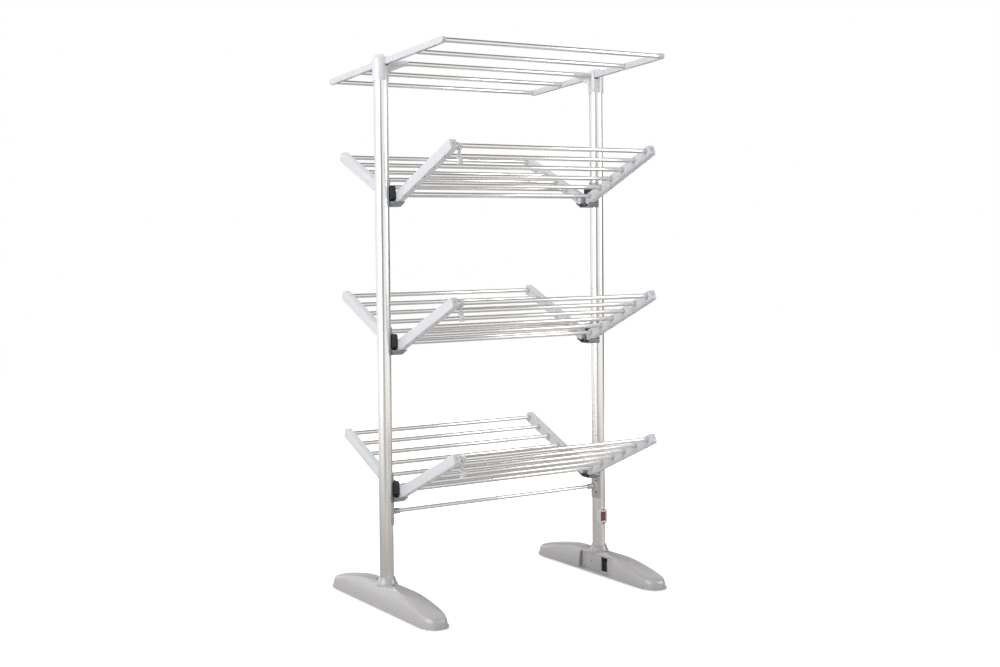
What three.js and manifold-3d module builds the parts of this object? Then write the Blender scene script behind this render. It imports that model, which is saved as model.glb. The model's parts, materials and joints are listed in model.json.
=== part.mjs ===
// Heated clothes airer: two posts on long feet carry three tiers of folding wings and a rocking top rack.
// Millimetres, +Z up. +X runs along the rods from the left post to the right one, and -Y is the front.
// The origin is on the floor, midway between the posts.
// Pieces on a post are drawn in its own frame, where +X points inboard, and mirrored for the right post.

import * as THREE from "three";
import { mergeVertices } from "three/addons/utils/BufferGeometryUtils.js";
import Module from "manifold-3d";

const wasm = await Module();
wasm.setup();

// Whole airer
const postSpacing = 670;
const postRadius = 18;
const postWall = 1.2;
const postSides = 20;
const seatGap = 0.3; // between pieces fixed to each other
const turnGap = 0.3; // round a pin, axle or rod end in its bore
const cutOver = 5; // how far a cut runs past the face that it opens
const weld = 0.5; // how far joined shapes of one piece run into each other

// Tiers
const tierNames = ["low", "middle", "top"];
const lowTierHeight = 267; // underside of the lowest brackets
const tierPitch = 375;

// Wings, measured from the pivot along the arm
const wingRestAngle = THREE.MathUtils.degToRad(23.6); // above level
const pivotOut = 18; // from the plane through the posts
const pivotUp = 26; // above the underside of the bracket
const rodsPerWing = 6;
const firstRodReach = 13.2;
const rodPitch = 54.2;
const rodRadius = 5.75;
const rodSides = 8;
const bossSides = 12;
const rodSocketDepth = 8;
const collarRadius = 7.5;
const collarProud = 3;

// Wing arms
const armOuterFace = 28; // from the post's axis
const armInnerFace = 47;
const armAbove = 10.5; // top edge above the line of the rods
const armBelow = 16.5; // underside below the line of the rods
const armPastRod = 16; // tip past the outermost rod
const armEdge = 3; // rounding of the long edges
const armTipRound = 6;
const heelInset = 6; // upright heel face inboard of the pivot
const heelChamfer = 5;
const stripWidth = 11; // cover strip let into the underside
const stripDepth = 1.2;
const stripStart = 20;
const stripEndMargin = 22;
const tipDimpleRadius = 3;
const tipDimpleDepth = 1.5;
const tipDimpleSides = 6;

// Hinge pins of the wings
const hingePinRadius = 4;
const hingePinReach = 14; // into the arm

// Tier brackets, bent from sheet
const sheet = 2.2;
const saddleAngle = THREE.MathUtils.degToRad(70); // to each side of the inboard direction
const saddleHeight = 70;
const troughStart = 15;
const troughFloorEnd = 44;
const troughFlangeEnd = 49;
const troughFloorHalf = 15.7;
const flangeTipOut = 31;

// Pivot blocks between bracket and arms
const blockBottom = 17; // above the underside of the bracket
const blockTop = 53;
const blockHalfWidth = 22.5;
const blockBack = 12;
const blockRound = 6;
const blockFootHalf = 14; // the part between the arms' heels that reaches down to the trough
const linerThickness = 3; // plate along the trough's floor
const linerEnd = 43.5;

// Caps and top rack
const rackAxisHeight = 1381;
const rackTilt = THREE.MathUtils.degToRad(4); // front end up
const rackRodsPerSide = 2; // of the axle
const rackRodInset = 10; // outermost rods from the arms' ends
const rackRodRadius = 6;
const rackArmCentre = 9; // from the post's axis
const rackArmWidth = 12.5;
const rackArmHeight = 16;
const rackArmHalfLength = 306;
const rackArmEdge = 1.5;
const rackArmWall = 2;
const rackArmRoof = 2.6;
const rackBossHalf = 12; // solid stretch to each side of a rod
const ribCells = 5; // zigzag cells between two rods
const ribCellShare = 0.82; // of a cell that stays open between ribs
const rackSocketDepth = 8;
const capRadius = 21;
const capSkirt = 47; // from the rack's axis down to the skirt's lower edge
const capCrown = 19; // from the rack's axis up to the top
const capCrownRound = 15;
const capFloor = 6; // between the post's top and the slot
const slotSide = 0.55; // beside the rack arm
const slotUnder = 2; // under the rack arm
const capBossRadius = 8;
const capBossEnd = 76;
const gussetThickness = 6;
const gussetEnd = 66;
const gussetDrop = 26;
const axleInEar = 9; // past the slot, into the cap's outer ear

// Lower crossbar and its plates
const crossbarHeight = 241;
const crossbarRadius = 5;
const crossbarPlateBottom = 208;
const crossbarPlateTop = 265;
const crossbarPlateSheet = 1.8;
const crossbarBossRadius = 7.5;
const crossbarBossEnd = 38;
const crossbarBossChamfer = 2;
const crossbarSocket = 12;

// Feet
const footHalfLength = 276;
const footHalfWidth = 36;
const footHeight = 60;
const footWall = 2.6;
const padThickness = 2.4;
const padHalfWidth = 24;
const padInner = 175;
const padOuter = 250;
const padPegRadius = 4;
const baseThickness = 3;
const baseRim = 2.4; // base plate past the cover all round
const socketWall = 3.5;
const socketHeight = 40;
const footRibThickness = 3;
const footRibReach = 95;
const footRibHeight = 26;
const collarBaseRadius = 26;
const collarTopRadius = 20;
const collarHeight = 16;
const footScrewRadius = 3;
const footScrewPlaces = [-36, 50];
// Outlines of the foot from above at rising heights, as shares of its height, half length and half width
const footLayerShares = [
  [0, 1, 1],
  [0.2, 0.996, 0.985],
  [0.37, 0.984, 0.96],
  [0.5, 0.95, 0.93],
  [0.62, 0.862, 0.895],
  [0.72, 0.754, 0.86],
  [0.82, 0.634, 0.8],
  [0.9, 0.525, 0.7],
  [0.96, 0.406, 0.54],
  [1, 0.225, 0.25],
];
const footCornerWideShare = 0.82; // how much of each outline's half width its rounded corners take
const footCornerLongShare = 0.2; // and of its half length
const footCornerSteps = 4;

// Recess in the inboard side of each foot; its face has the bay's opening and cover panel
const recessFace = 25; // from the post's axis
const recessFront = -99;
const recessBack = 49;
const recessTop = 54;
const bayFront = -72;
const bayBottom = 11;
const bayTop = 50;
const panelFront = -44;
const panelPinRadius = 1.5;
const panelPinLength = 2.5;
const panelPinInset = 4;
const panelScrewRadius = 1.6;

// Switch on the front of the right post
const switchHeight = 156.5;
const housingWidth = 28;
const housingHeight = 48;
const housingProud = 3.8;
const housingEdge = 1.2;
const switchBodyWidth = 16;
const switchBodyHeight = 24;
const switchBodyDepth = 17;
const switchBodyProud = 3.2;
const rockerWidth = 12;
const rockerHeight = 19;
const rockerDepth = 6;
const rockerDish = 1.1;
const rockerWell = 8;
const rockerAxisDepth = 3; // behind the frame's face
const rockerTilt = THREE.MathUtils.degToRad(6);
const rockerPinRadius = 1.2;
const rockerPinLength = 1.2;

// Electrical pieces inside
const loomRadius = 3;
const wiringSides = 10;
const terminalLength = 34;
const terminalWidth = 18;
const terminalHeight = 14;
const terminalPoles = 3;
const terminalWellRadius = 3;
const terminalPlace = new THREE.Vector2(-16, -66);
const cutoutLength = 22;
const cutoutWidth = 14;
const cutoutHeight = 9;
const cutoutButtonRadius = 3.5;
const cutoutButtonProud = 1.5;
const cutoutPlace = new THREE.Vector2(-16, 66);

// Clips that hang on the outermost rod of each front wing
const clipStart = 56; // from the left post's axis
const clipWidth = 12;
const clipRingWall = 2;
const clipHookClear = 0.85;
const clipHookWall = 2.4;
const clipNeckWidth = 4;
const clipMouth = THREE.MathUtils.degToRad(100);

// Worked out from the sizes above
const insideFloor = padThickness + baseThickness + seatGap * 2; // what stands on the base plate starts here
const rackRodPitch = (rackArmHalfLength - rackRodInset) / rackRodsPerSide;
const rackArmOuter = rackArmCentre - rackArmWidth / 2;
const rackArmInner = rackArmCentre + rackArmWidth / 2;
const slotFloor = rackAxisHeight - rackArmHeight / 2 - slotUnder;
const postTop = slotFloor - capFloor - seatGap;
const panelBack = recessBack - seatGap;
const panelPinY = panelBack - panelPinInset;
const panelMiddle = recessFace - footWall / 2;
const armTip = firstRodReach + (rodsPerWing - 1) * rodPitch + armPastRod;
const boreRadius = postRadius + seatGap;
const clipReach = pivotOut * 2; // the folded wings' outermost rods lie this far apart

const colours = {
  anodised: { color: "#dcdde0", roughness: 0.3, metalness: 0.9 },
  polished: { color: "#d9dadd", roughness: 0.2, metalness: 1 },
  arm: { color: "#e2e3e7", roughness: 0.45, metalness: 0 },
  cap: { color: "#e0e0e6", roughness: 0.4, metalness: 0 },
  foot: { color: "#bdbbbd", roughness: 0.5, metalness: 0 },
  bracket: { color: "#7b8288", roughness: 0.35, metalness: 0.9 },
  plate: { color: "#b5b4b4", roughness: 0.4, metalness: 0.6 },
  black: { color: "#1d1e20", roughness: 0.5, metalness: 0 },
  rubber: { color: "#2a2a2c", roughness: 0.9, metalness: 0 },
  rocker: { color: "#8e1f24", roughness: 0.35, metalness: 0 },
  clip: { color: "#eceff2", roughness: 0.25, metalness: 0 },
  loom: { color: "#e8e6e0", roughness: 0.6, metalness: 0 },
};

// Solid of a closed geometry
function solidOf(geometry) {
  const plain = geometry.clone();
  plain.deleteAttribute("normal");
  plain.deleteAttribute("uv");
  const merged = mergeVertices(plain, 1e-4);
  const mesh = new wasm.Mesh({
    numProp: 3,
    vertProperties: merged.attributes.position.array,
    triVerts: new Uint32Array(merged.index.array),
  });
  return new wasm.Manifold(mesh);
}

function geometryOf(solid) {
  const { vertProperties, triVerts } = solid.getMesh();
  const geometry = new THREE.BufferGeometry();
  geometry.setAttribute("position", new THREE.BufferAttribute(vertProperties, 3));
  geometry.setIndex(new THREE.BufferAttribute(triVerts, 1));
  const faceted = geometry.toNonIndexed();
  faceted.computeVertexNormals();
  return faceted;
}

function join(...shapes) {
  return geometryOf(shapes.map(solidOf).reduce((whole, next) => whole.add(next)));
}

function cut(shape, ...tools) {
  return geometryOf(tools.map(solidOf).reduce((whole, tool) => whole.subtract(tool), solidOf(shape)));
}

function common(shape, other) {
  return geometryOf(solidOf(shape).intersect(solidOf(other)));
}

// Box between two corners
function box(x0, x1, y0, y1, z0, z1) {
  const geometry = new THREE.BoxGeometry(x1 - x0, y1 - y0, z1 - z0);
  return geometry.translate((x0 + x1) / 2, (y0 + y1) / 2, (z0 + z1) / 2);
}

function barAlongX(radius, x0, x1, y, z, sides = rodSides) {
  const geometry = new THREE.CylinderGeometry(radius, radius, x1 - x0, sides);
  return geometry.rotateZ(Math.PI / 2).translate((x0 + x1) / 2, y, z);
}

// Cutting bar whose flats, not its corners, lie at the radius, so that a pin can turn in the bore
function boreAlongX(radius, x0, x1, y, z, sides = rodSides) {
  return barAlongX(radius / Math.cos(Math.PI / sides), x0, x1, y, z, sides);
}

function barAlongZ(radius, z0, z1, x = 0, y = 0, sides = rodSides) {
  const geometry = new THREE.CylinderGeometry(radius, radius, z1 - z0, sides);
  return geometry.rotateX(Math.PI / 2).translate(x, y, (z0 + z1) / 2);
}

// Outline drawn in Y and Z, drawn out along X from x0 to x1; edge rounds both rims
function sideways(shape, x0, x1, edge = 0, curveSegments = 5, bevelSegments = 1) {
  const geometry = new THREE.ExtrudeGeometry(shape, {
    depth: x1 - x0 - edge * 2,
    bevelEnabled: edge > 0,
    bevelThickness: edge,
    bevelSize: edge,
    bevelOffset: -edge,
    bevelSegments,
    curveSegments,
  });
  const turn = new THREE.Matrix4().makeBasis(
    new THREE.Vector3(0, 1, 0),
    new THREE.Vector3(0, 0, 1),
    new THREE.Vector3(1, 0, 0),
  );
  return geometry.applyMatrix4(turn).translate(x0 + edge, 0, 0);
}

// Outline drawn in X and Z, drawn out along Y from y0 to y1
function endways(shape, y0, y1, edge = 0, curveSegments = 5) {
  const geometry = new THREE.ExtrudeGeometry(shape, {
    depth: y1 - y0 - edge * 2,
    bevelEnabled: edge > 0,
    bevelThickness: edge,
    bevelSize: edge,
    bevelOffset: -edge,
    bevelSegments: 1,
    curveSegments,
  });
  return geometry.rotateX(Math.PI / 2).translate(0, y1 - edge, 0);
}

// Outline drawn in X and Y, raised from z0 to z1
function upright(shape, z0, z1, curveSegments = 6) {
  const geometry = new THREE.ExtrudeGeometry(shape, { depth: z1 - z0, bevelEnabled: false, curveSegments });
  return geometry.translate(0, 0, z0);
}

function outline(points) {
  return new THREE.Shape(points.map(([a, b]) => new THREE.Vector2(a, b)));
}

function roundedRectangle(x0, x1, y0, y1, radius) {
  const shape = new THREE.Shape();
  shape.absarc(x1 - radius, y0 + radius, radius, -Math.PI / 2, 0);
  shape.absarc(x1 - radius, y1 - radius, radius, 0, Math.PI / 2);
  shape.absarc(x0 + radius, y1 - radius, radius, Math.PI / 2, Math.PI);
  shape.absarc(x0 + radius, y0 + radius, radius, Math.PI, Math.PI * 1.5);
  return shape;
}

// Part of a ring round a post, open on the outboard side
function saddleShape(inner, outer) {
  const shape = new THREE.Shape();
  shape.absarc(0, 0, outer, -saddleAngle, saddleAngle, false);
  shape.absarc(0, 0, inner, saddleAngle, -saddleAngle, true);
  return shape;
}

function named(name, geometry, look) {
  const mesh = new THREE.Mesh(geometry, new THREE.MeshStandardMaterial(look));
  mesh.name = name;
  return mesh;
}

// Post: a plain tube; the right one is cut open in front for the switch
function postGeometry(withSwitch) {
  const tube = cut(
    barAlongZ(postRadius, insideFloor, postTop, 0, 0, postSides),
    barAlongZ(postRadius - postWall, insideFloor - cutOver, postTop + cutOver, 0, 0, postSides),
  );
  if (!withSwitch) return tube;
  const halfWidth = switchBodyWidth / 2 + seatGap;
  const halfHeight = switchBodyHeight / 2 + seatGap;
  const window = box(
    -halfWidth,
    halfWidth,
    -postRadius - cutOver,
    0,
    switchHeight - halfHeight,
    switchHeight + halfHeight,
  );
  return cut(tube, window);
}

// Cap: a domed plug over the post, slotted for the rack's arm, with a long boss for the rack's axle
function capGeometry() {
  const top = rackAxisHeight + capCrown;
  const bottom = rackAxisHeight - capSkirt;
  const crown = new THREE.Path();
  crown.absarc(capRadius - capCrownRound, top - capCrownRound, capCrownRound, 0, Math.PI / 2);
  const profile = [
    new THREE.Vector2(0, postTop + seatGap),
    new THREE.Vector2(boreRadius, postTop + seatGap),
    new THREE.Vector2(boreRadius, bottom),
    new THREE.Vector2(capRadius, bottom),
    ...crown.getPoints(2),
    new THREE.Vector2(0, top),
  ];
  const dome = new THREE.LatheGeometry(profile, postSides).rotateX(Math.PI / 2);
  const boss = barAlongX(capBossRadius, 0, capBossEnd, 0, rackAxisHeight, bossSides);
  const gusset = endways(
    outline([
      [0, rackAxisHeight - gussetDrop],
      [capRadius, rackAxisHeight - gussetDrop],
      [gussetEnd, rackAxisHeight - capBossRadius + weld],
      [gussetEnd, rackAxisHeight],
      [0, rackAxisHeight],
    ]),
    -gussetThickness / 2,
    gussetThickness / 2,
  );
  const postBore = barAlongZ(boreRadius, bottom - cutOver, postTop + seatGap, 0, 0, postSides);
  const slot = box(
    rackArmOuter - slotSide,
    rackArmInner + slotSide,
    -capRadius - cutOver,
    capRadius + cutOver,
    slotFloor,
    top + cutOver,
  );
  const axleBore = boreAlongX(
    rackRodRadius + turnGap,
    rackArmOuter - axleInEar - seatGap,
    capBossEnd + cutOver,
    0,
    rackAxisHeight,
    bossSides,
  );
  return cut(join(dome, boss, gusset), postBore, slot, axleBore);
}

// Tier bracket: a saddle on the post and a trough with flared flanges under the arms, in one bent sheet
function bracketGeometry() {
  const saddle = upright(saddleShape(boreRadius, boreRadius + sheet), 0, saddleHeight, 4);
  const tipUp = pivotUp - armBelow / Math.cos(wingRestAngle)
    + (flangeTipOut - pivotOut) * Math.tan(wingRestAngle) - seatGap;
  const along = new THREE.Vector2(flangeTipOut - troughFloorHalf, tipUp - sheet).normalize();
  const underTip = new THREE.Vector2(flangeTipOut + along.y * sheet, tipUp - along.x * sheet);
  const underFoot = underTip.x - along.x * (underTip.y / along.y);
  const half = [
    [underFoot, 0],
    [underTip.x, underTip.y],
    [flangeTipOut, tipUp],
    [troughFloorHalf, sheet],
  ];
  const otherHalf = half.map(([y, z]) => [-y, z]).reverse();
  const trough = sideways(outline([...half, ...otherHalf]), troughStart, troughFlangeEnd);
  const slope = (troughFlangeEnd - troughFloorEnd) / tipUp;
  const slantedEnd = endways(
    outline([
      [troughFloorEnd - slope * cutOver, -cutOver],
      [troughFlangeEnd + cutOver, -cutOver],
      [troughFlangeEnd + cutOver, tipUp],
      [troughFlangeEnd, tipUp],
    ]),
    -underTip.x - cutOver,
    underTip.x + cutOver,
  );
  const post = barAlongZ(boreRadius, -cutOver, saddleHeight + cutOver, 0, 0, postSides);
  return cut(join(saddle, trough), slantedEnd, post);
}

// Pivot block: moulded round the saddle, with the two hinge pins that the arms turn on
function pivotBlockGeometry() {
  const front = armOuterFace - seatGap;
  const body = sideways(
    roundedRectangle(-blockHalfWidth, blockHalfWidth, blockBottom, blockTop, blockRound),
    blockBack,
    front,
    0,
    1,
  );
  const floor = sheet + seatGap;
  const foot = box(blockBack, front, -blockFootHalf, blockFootHalf, floor, blockBottom + weld);
  const liner = box(front - weld, linerEnd, -blockFootHalf, blockFootHalf, floor, floor + linerThickness);
  const seat = barAlongZ(boreRadius + floor, -cutOver, blockTop + cutOver, 0, 0, postSides);
  const pins = [-pivotOut, pivotOut].map((y) =>
    barAlongX(hingePinRadius, front - weld, armOuterFace + hingePinReach, y, pivotUp),
  );
  return join(cut(join(body, foot), seat), liner, ...pins);
}

// Outline of a wing's arm: Y runs out along the rods from the pivot, Z across them
function armShape() {
  const lean = (out, up) => [
    out * Math.cos(wingRestAngle) + up * Math.sin(wingRestAngle),
    up * Math.cos(wingRestAngle) - out * Math.sin(wingRestAngle),
  ];
  const [heelFoot, heelFootUp] = lean(-heelInset, -Math.sqrt(armBelow ** 2 - heelInset ** 2));
  const heelTop = (armAbove * Math.sin(wingRestAngle) - heelInset) / Math.cos(wingRestAngle);
  const shape = new THREE.Shape();
  shape.absarc(0, 0, armBelow, Math.atan2(heelFootUp, heelFoot), -Math.PI / 2, false);
  shape.absarc(armTip - armTipRound, armTipRound - armBelow, armTipRound, -Math.PI / 2, 0, false);
  shape.absarc(armTip - armTipRound, armAbove - armTipRound, armTipRound, 0, Math.PI / 2, false);
  shape.lineTo(heelTop + heelChamfer, armAbove);
  shape.lineTo(
    heelTop - heelChamfer * Math.sin(wingRestAngle),
    armAbove - heelChamfer * Math.cos(wingRestAngle),
  );
  return shape;
}

const rodReaches = Array.from({ length: rodsPerWing }, (_, i) => firstRodReach + i * rodPitch);

function armBody() {
  const body = sideways(armShape(), armOuterFace, armInnerFace, armEdge, 2);
  const middle = (armOuterFace + armInnerFace) / 2;
  const strip = box(
    middle - stripWidth / 2,
    middle + stripWidth / 2,
    stripStart,
    armTip - stripEndMargin,
    -armBelow - cutOver,
    stripDepth - armBelow,
  );
  const pinBore = boreAlongX(
    hingePinRadius + turnGap,
    armOuterFace - cutOver,
    armOuterFace + hingePinReach + seatGap,
    0,
    0,
  );
  const dimpleReach = tipDimpleDepth * 2;
  const dimple = new THREE.CylinderGeometry(tipDimpleRadius, tipDimpleRadius, dimpleReach, tipDimpleSides)
    .translate(middle, armTip, (armAbove - armBelow) / 2);
  return cut(body, strip, pinBore, dimple);
}

// Collar that holds a rod's end, standing on the arm's inner face
function collarAt(reach) {
  return barAlongX(collarRadius, armInnerFace - weld, armInnerFace + collarProud, reach, 0);
}

function leftArmGeometry() {
  const socketEnd = armInnerFace - rodSocketDepth;
  const sockets = rodReaches.map((reach) =>
    boreAlongX(rodRadius + turnGap, socketEnd, armInnerFace + collarProud + cutOver, reach, 0),
  );
  return cut(join(armBody(), ...rodReaches.map(collarAt)), ...sockets);
}

// Right arm with its six heated rods, whose far ends lie in the left arm's sockets
function rightArmWithRodsGeometry() {
  const rodEnd = postSpacing - armInnerFace + rodSocketDepth - seatGap;
  const rods = rodReaches.map((reach) => barAlongX(rodRadius, armInnerFace - weld, rodEnd, reach, 0));
  return join(armBody(), ...rodReaches.map(collarAt), ...rods);
}

// Rack arm: a channel open below with zigzag ribs, rocking on the axle in the cap's slot
function rackArmGeometry() {
  const round = rackArmHeight / 2;
  const shape = new THREE.Shape();
  shape.absarc(rackArmHalfLength - round, 0, round, -Math.PI / 2, Math.PI / 2, false);
  shape.absarc(round - rackArmHalfLength, 0, round, Math.PI / 2, Math.PI * 1.5, false);
  const body = sideways(shape, rackArmOuter, rackArmInner, rackArmEdge, 3);
  const axle = boreAlongX(
    rackRodRadius + turnGap,
    rackArmOuter - cutOver,
    rackArmInner + cutOver,
    0,
    0,
    bossSides,
  );
  const sockets = [-2, -1, 1, 2].map((step) =>
    boreAlongX(
      rackRodRadius + turnGap,
      rackArmInner - rackSocketDepth,
      rackArmInner + cutOver,
      step * rackRodPitch,
      0,
    ),
  );
  return cut(body, axle, ...sockets, ...rackPockets());
}

// Three-cornered pockets between the zigzag ribs, one row in each gap between rods
function rackPockets() {
  const outerWall = rackArmOuter + rackArmWall;
  const innerWall = rackArmInner - rackArmWall;
  const pockets = [];
  for (const bay of [-2, -1, 0, 1]) {
    const start = bay * rackRodPitch + rackBossHalf;
    const step = (rackRodPitch - rackBossHalf * 2) / (ribCells + 1);
    for (let cell = 0; cell < ribCells; cell += 1) {
      const base = cell % 2 ? outerWall : innerWall;
      const apex = cell % 2 ? innerWall : outerWall;
      const low = start + cell * step;
      const corners = [
        new THREE.Vector2(base, low),
        new THREE.Vector2(base, low + step * 2),
        new THREE.Vector2(apex, low + step),
      ];
      const middle = new THREE.Vector2((base * 2 + apex) / 3, low + step);
      corners.forEach((corner) => corner.lerp(middle, 1 - ribCellShare));
      const triangle = new THREE.Shape(corners);
      pockets.push(upright(triangle, -rackArmHeight / 2 - cutOver, rackArmHeight / 2 - rackArmRoof));
    }
  }
  return pockets;
}

function rackRodGeometry() {
  const end = rackArmInner - rackSocketDepth + seatGap;
  return barAlongX(rackRodRadius, end - postSpacing / 2, postSpacing / 2 - end, 0, 0, bossSides);
}

function rackAxleGeometry() {
  const end = rackArmOuter - axleInEar;
  return barAlongX(rackRodRadius, end - postSpacing / 2, postSpacing / 2 - end, 0, 0, bossSides);
}

// Plate on the post that carries one end of the lower crossbar
function crossbarPlateGeometry() {
  const outer = boreRadius + crossbarPlateSheet;
  const saddle = upright(saddleShape(boreRadius, outer), crossbarPlateBottom, crossbarPlateTop, 4);
  const shoulder = crossbarBossEnd - crossbarBossChamfer;
  const boss = barAlongX(crossbarBossRadius, boreRadius, shoulder, 0, crossbarHeight, bossSides);
  const nose = new THREE.CylinderGeometry(
    crossbarBossRadius,
    crossbarBossRadius - crossbarBossChamfer,
    crossbarBossChamfer + weld,
    bossSides,
  )
    .rotateZ(Math.PI / 2)
    .translate(crossbarBossEnd - (crossbarBossChamfer + weld) / 2, 0, crossbarHeight);
  const socket = boreAlongX(
    crossbarRadius + turnGap,
    crossbarBossEnd - crossbarSocket,
    crossbarBossEnd + cutOver,
    0,
    crossbarHeight,
  );
  const post = barAlongZ(boreRadius, crossbarPlateBottom, crossbarPlateTop, 0, 0, postSides);
  return cut(join(saddle, boss, nose), post, socket);
}

function crossbarGeometry() {
  const end = crossbarBossEnd - crossbarSocket + seatGap - postSpacing / 2;
  return barAlongX(crossbarRadius, end, -end, 0, crossbarHeight);
}

// Outline of the foot from above at one height: a rectangle whose corners are parts of an ellipse
function footRing(halfWidth, halfLength, z) {
  const points = [];
  for (const [signX, signY] of [[1, 1], [-1, 1], [-1, -1], [1, -1]]) {
    for (let i = 0; i <= footCornerSteps; i += 1) {
      const step = signX === signY ? i : footCornerSteps - i;
      const turn = (step / footCornerSteps) * (Math.PI / 2);
      const wide = 1 - footCornerWideShare * (1 - Math.cos(turn));
      const long = 1 - footCornerLongShare * (1 - Math.sin(turn));
      points.push(signX * wide * halfWidth, signY * long * halfLength, z);
    }
  }
  return points;
}

// Closed skin over rings of equally many points, each ring above the one before
function skin(rings) {
  const count = rings[0].length / 3;
  const faces = [];
  for (let ring = 0; ring + 1 < rings.length; ring += 1) {
    for (let i = 0; i < count; i += 1) {
      const a = ring * count + i;
      const b = ring * count + ((i + 1) % count);
      faces.push(a, b, b + count, a, b + count, a + count);
    }
  }
  const top = (rings.length - 1) * count;
  for (let i = 1; i + 1 < count; i += 1) {
    faces.push(0, i + 1, i, top, top + i, top + i + 1);
  }
  const geometry = new THREE.BufferGeometry();
  geometry.setAttribute("position", new THREE.Float32BufferAttribute(rings.flat(), 3));
  geometry.setIndex(faces);
  return geometry;
}

// Foot's domed form, drawn in by inset on every side
function footForm(inset, z0) {
  const rings = footLayerShares.map(([up, long, wide]) => {
    const z = up > 0 ? up * footHeight - inset : z0;
    return footRing(wide * footHalfWidth - inset, long * footHalfLength - inset, z);
  });
  return skin(rings);
}

// Room inside the cover, which keeps clear of the recess and its walls
function footRoom() {
  const recessWalls = box(
    recessFace - footWall,
    footHalfWidth,
    recessFront - footWall,
    recessBack + footWall,
    0,
    footHeight,
  );
  return cut(footForm(footWall, insideFloor - cutOver), recessWalls);
}

// Holes above and below the bay's opening for the pins of its panel
function panelPinHoles() {
  return [-1, 1].map((end) => {
    const face = end < 0 ? bayBottom : bayTop;
    const depth = end * (panelPinLength + seatGap);
    return box(
      panelMiddle - panelPinRadius - seatGap,
      recessFace + cutOver,
      panelPinY - panelPinRadius - seatGap,
      panelPinY + panelPinRadius + seatGap,
      Math.min(face, face + depth) - weld,
      Math.max(face, face + depth) + weld,
    );
  });
}

// Foot cover: a shell over the base with the post's collar, the recess for the bay and two screw holes
function footCoverGeometry() {
  const collarReach = footHeight - recessTop;
  const collarSpan = collarHeight + collarReach;
  const collar = new THREE.CylinderGeometry(collarTopRadius, collarBaseRadius, collarSpan, postSides)
    .rotateX(Math.PI / 2)
    .translate(0, 0, recessTop + collarSpan / 2);
  const recess = box(
    recessFace,
    footHalfWidth + cutOver,
    recessFront,
    recessBack,
    0,
    recessTop,
  );
  const postBore = barAlongZ(boreRadius, 0, footHeight + collarHeight + cutOver, 0, 0, postSides);
  const bay = box(
    recessFace - footWall - cutOver,
    recessFace + cutOver,
    bayFront,
    recessBack,
    bayBottom,
    bayTop,
  );
  const screws = footScrewPlaces.map((y) =>
    barAlongZ(footScrewRadius, footHeight / 2, footHeight + cutOver, 0, y),
  );
  const whole = join(cut(footForm(0, insideFloor), recess), collar);
  return cut(whole, footRoom(), postBore, bay, ...panelPinHoles(), ...screws);
}

// Foot base: the plate under the cover, with the socket that the post stands in
function footBaseGeometry() {
  const z0 = padThickness + seatGap;
  const z1 = z0 + baseThickness;
  const outer = [footHalfWidth + baseRim, footHalfLength + baseRim];
  const plate = skin([footRing(...outer, z0), footRing(...outer, z1)]);
  const socketRadius = boreRadius + socketWall;
  const socket = barAlongZ(socketRadius, z1 - weld, z1 + socketHeight, 0, 0, postSides);
  const rib = box(
    -footRibThickness / 2,
    footRibThickness / 2,
    -footRibReach,
    footRibReach,
    z1 - weld,
    z1 + footRibHeight,
  );
  const bore = barAlongZ(boreRadius, z1, z1 + socketHeight + cutOver, 0, 0, postSides);
  const pegHoles = [-1, 1].map((side) =>
    barAlongZ(padPegRadius + seatGap, 0, z1 + cutOver, 0, (side * (padInner + padOuter)) / 2),
  );
  return cut(join(plate, socket, rib), bore, ...pegHoles);
}

// Rubber pad under one end of a foot, held by a peg
function footPadGeometry() {
  const pad = upright(
    roundedRectangle(-padHalfWidth, padHalfWidth, padInner, padOuter, padHalfWidth / 2),
    0,
    padThickness,
    1,
  );
  const peg = barAlongZ(padPegRadius, padThickness - weld, insideFloor, 0, (padInner + padOuter) / 2);
  return join(pad, peg);
}

// Panel that closes most of the bay, flush with the recess's face, held by two pins and a screw
function bayPanelGeometry() {
  const inner = recessFace - footWall;
  const plate = box(
    inner,
    recessFace,
    panelFront,
    panelBack,
    bayBottom + seatGap,
    bayTop - seatGap,
  );
  const pin = box(
    panelMiddle - panelPinRadius + seatGap,
    recessFace - seatGap,
    panelPinY - panelPinRadius,
    panelPinY + panelPinRadius,
    bayBottom - panelPinLength,
    bayTop + panelPinLength,
  );
  const screw = barAlongX(
    panelScrewRadius,
    inner - cutOver,
    recessFace + cutOver,
    (panelFront + panelBack) / 2,
    (bayBottom + bayTop) / 2,
  );
  return cut(join(plate, pin), screw);
}

// Bezel round the switch, moulded to the post's front
function switchHousingGeometry() {
  const shape = roundedRectangle(
    -housingWidth / 2,
    housingWidth / 2,
    switchHeight - housingHeight / 2,
    switchHeight + housingHeight / 2,
    housingWidth / 2 - weld,
  );
  const front = -postRadius - housingProud;
  const body = endways(shape, front, -postRadius / 2, housingEdge, 3);
  const post = barAlongZ(
    boreRadius,
    switchHeight - housingHeight,
    switchHeight + housingHeight,
    0,
    0,
    postSides,
  );
  const window = box(
    -switchBodyWidth / 2 - seatGap,
    switchBodyWidth / 2 + seatGap,
    front - cutOver,
    0,
    switchHeight - switchBodyHeight / 2 - seatGap,
    switchHeight + switchBodyHeight / 2 + seatGap,
  );
  return cut(body, post, window);
}

const switchFace = -postRadius - switchBodyProud;
const rockerAxisY = switchFace + rockerAxisDepth;

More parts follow.
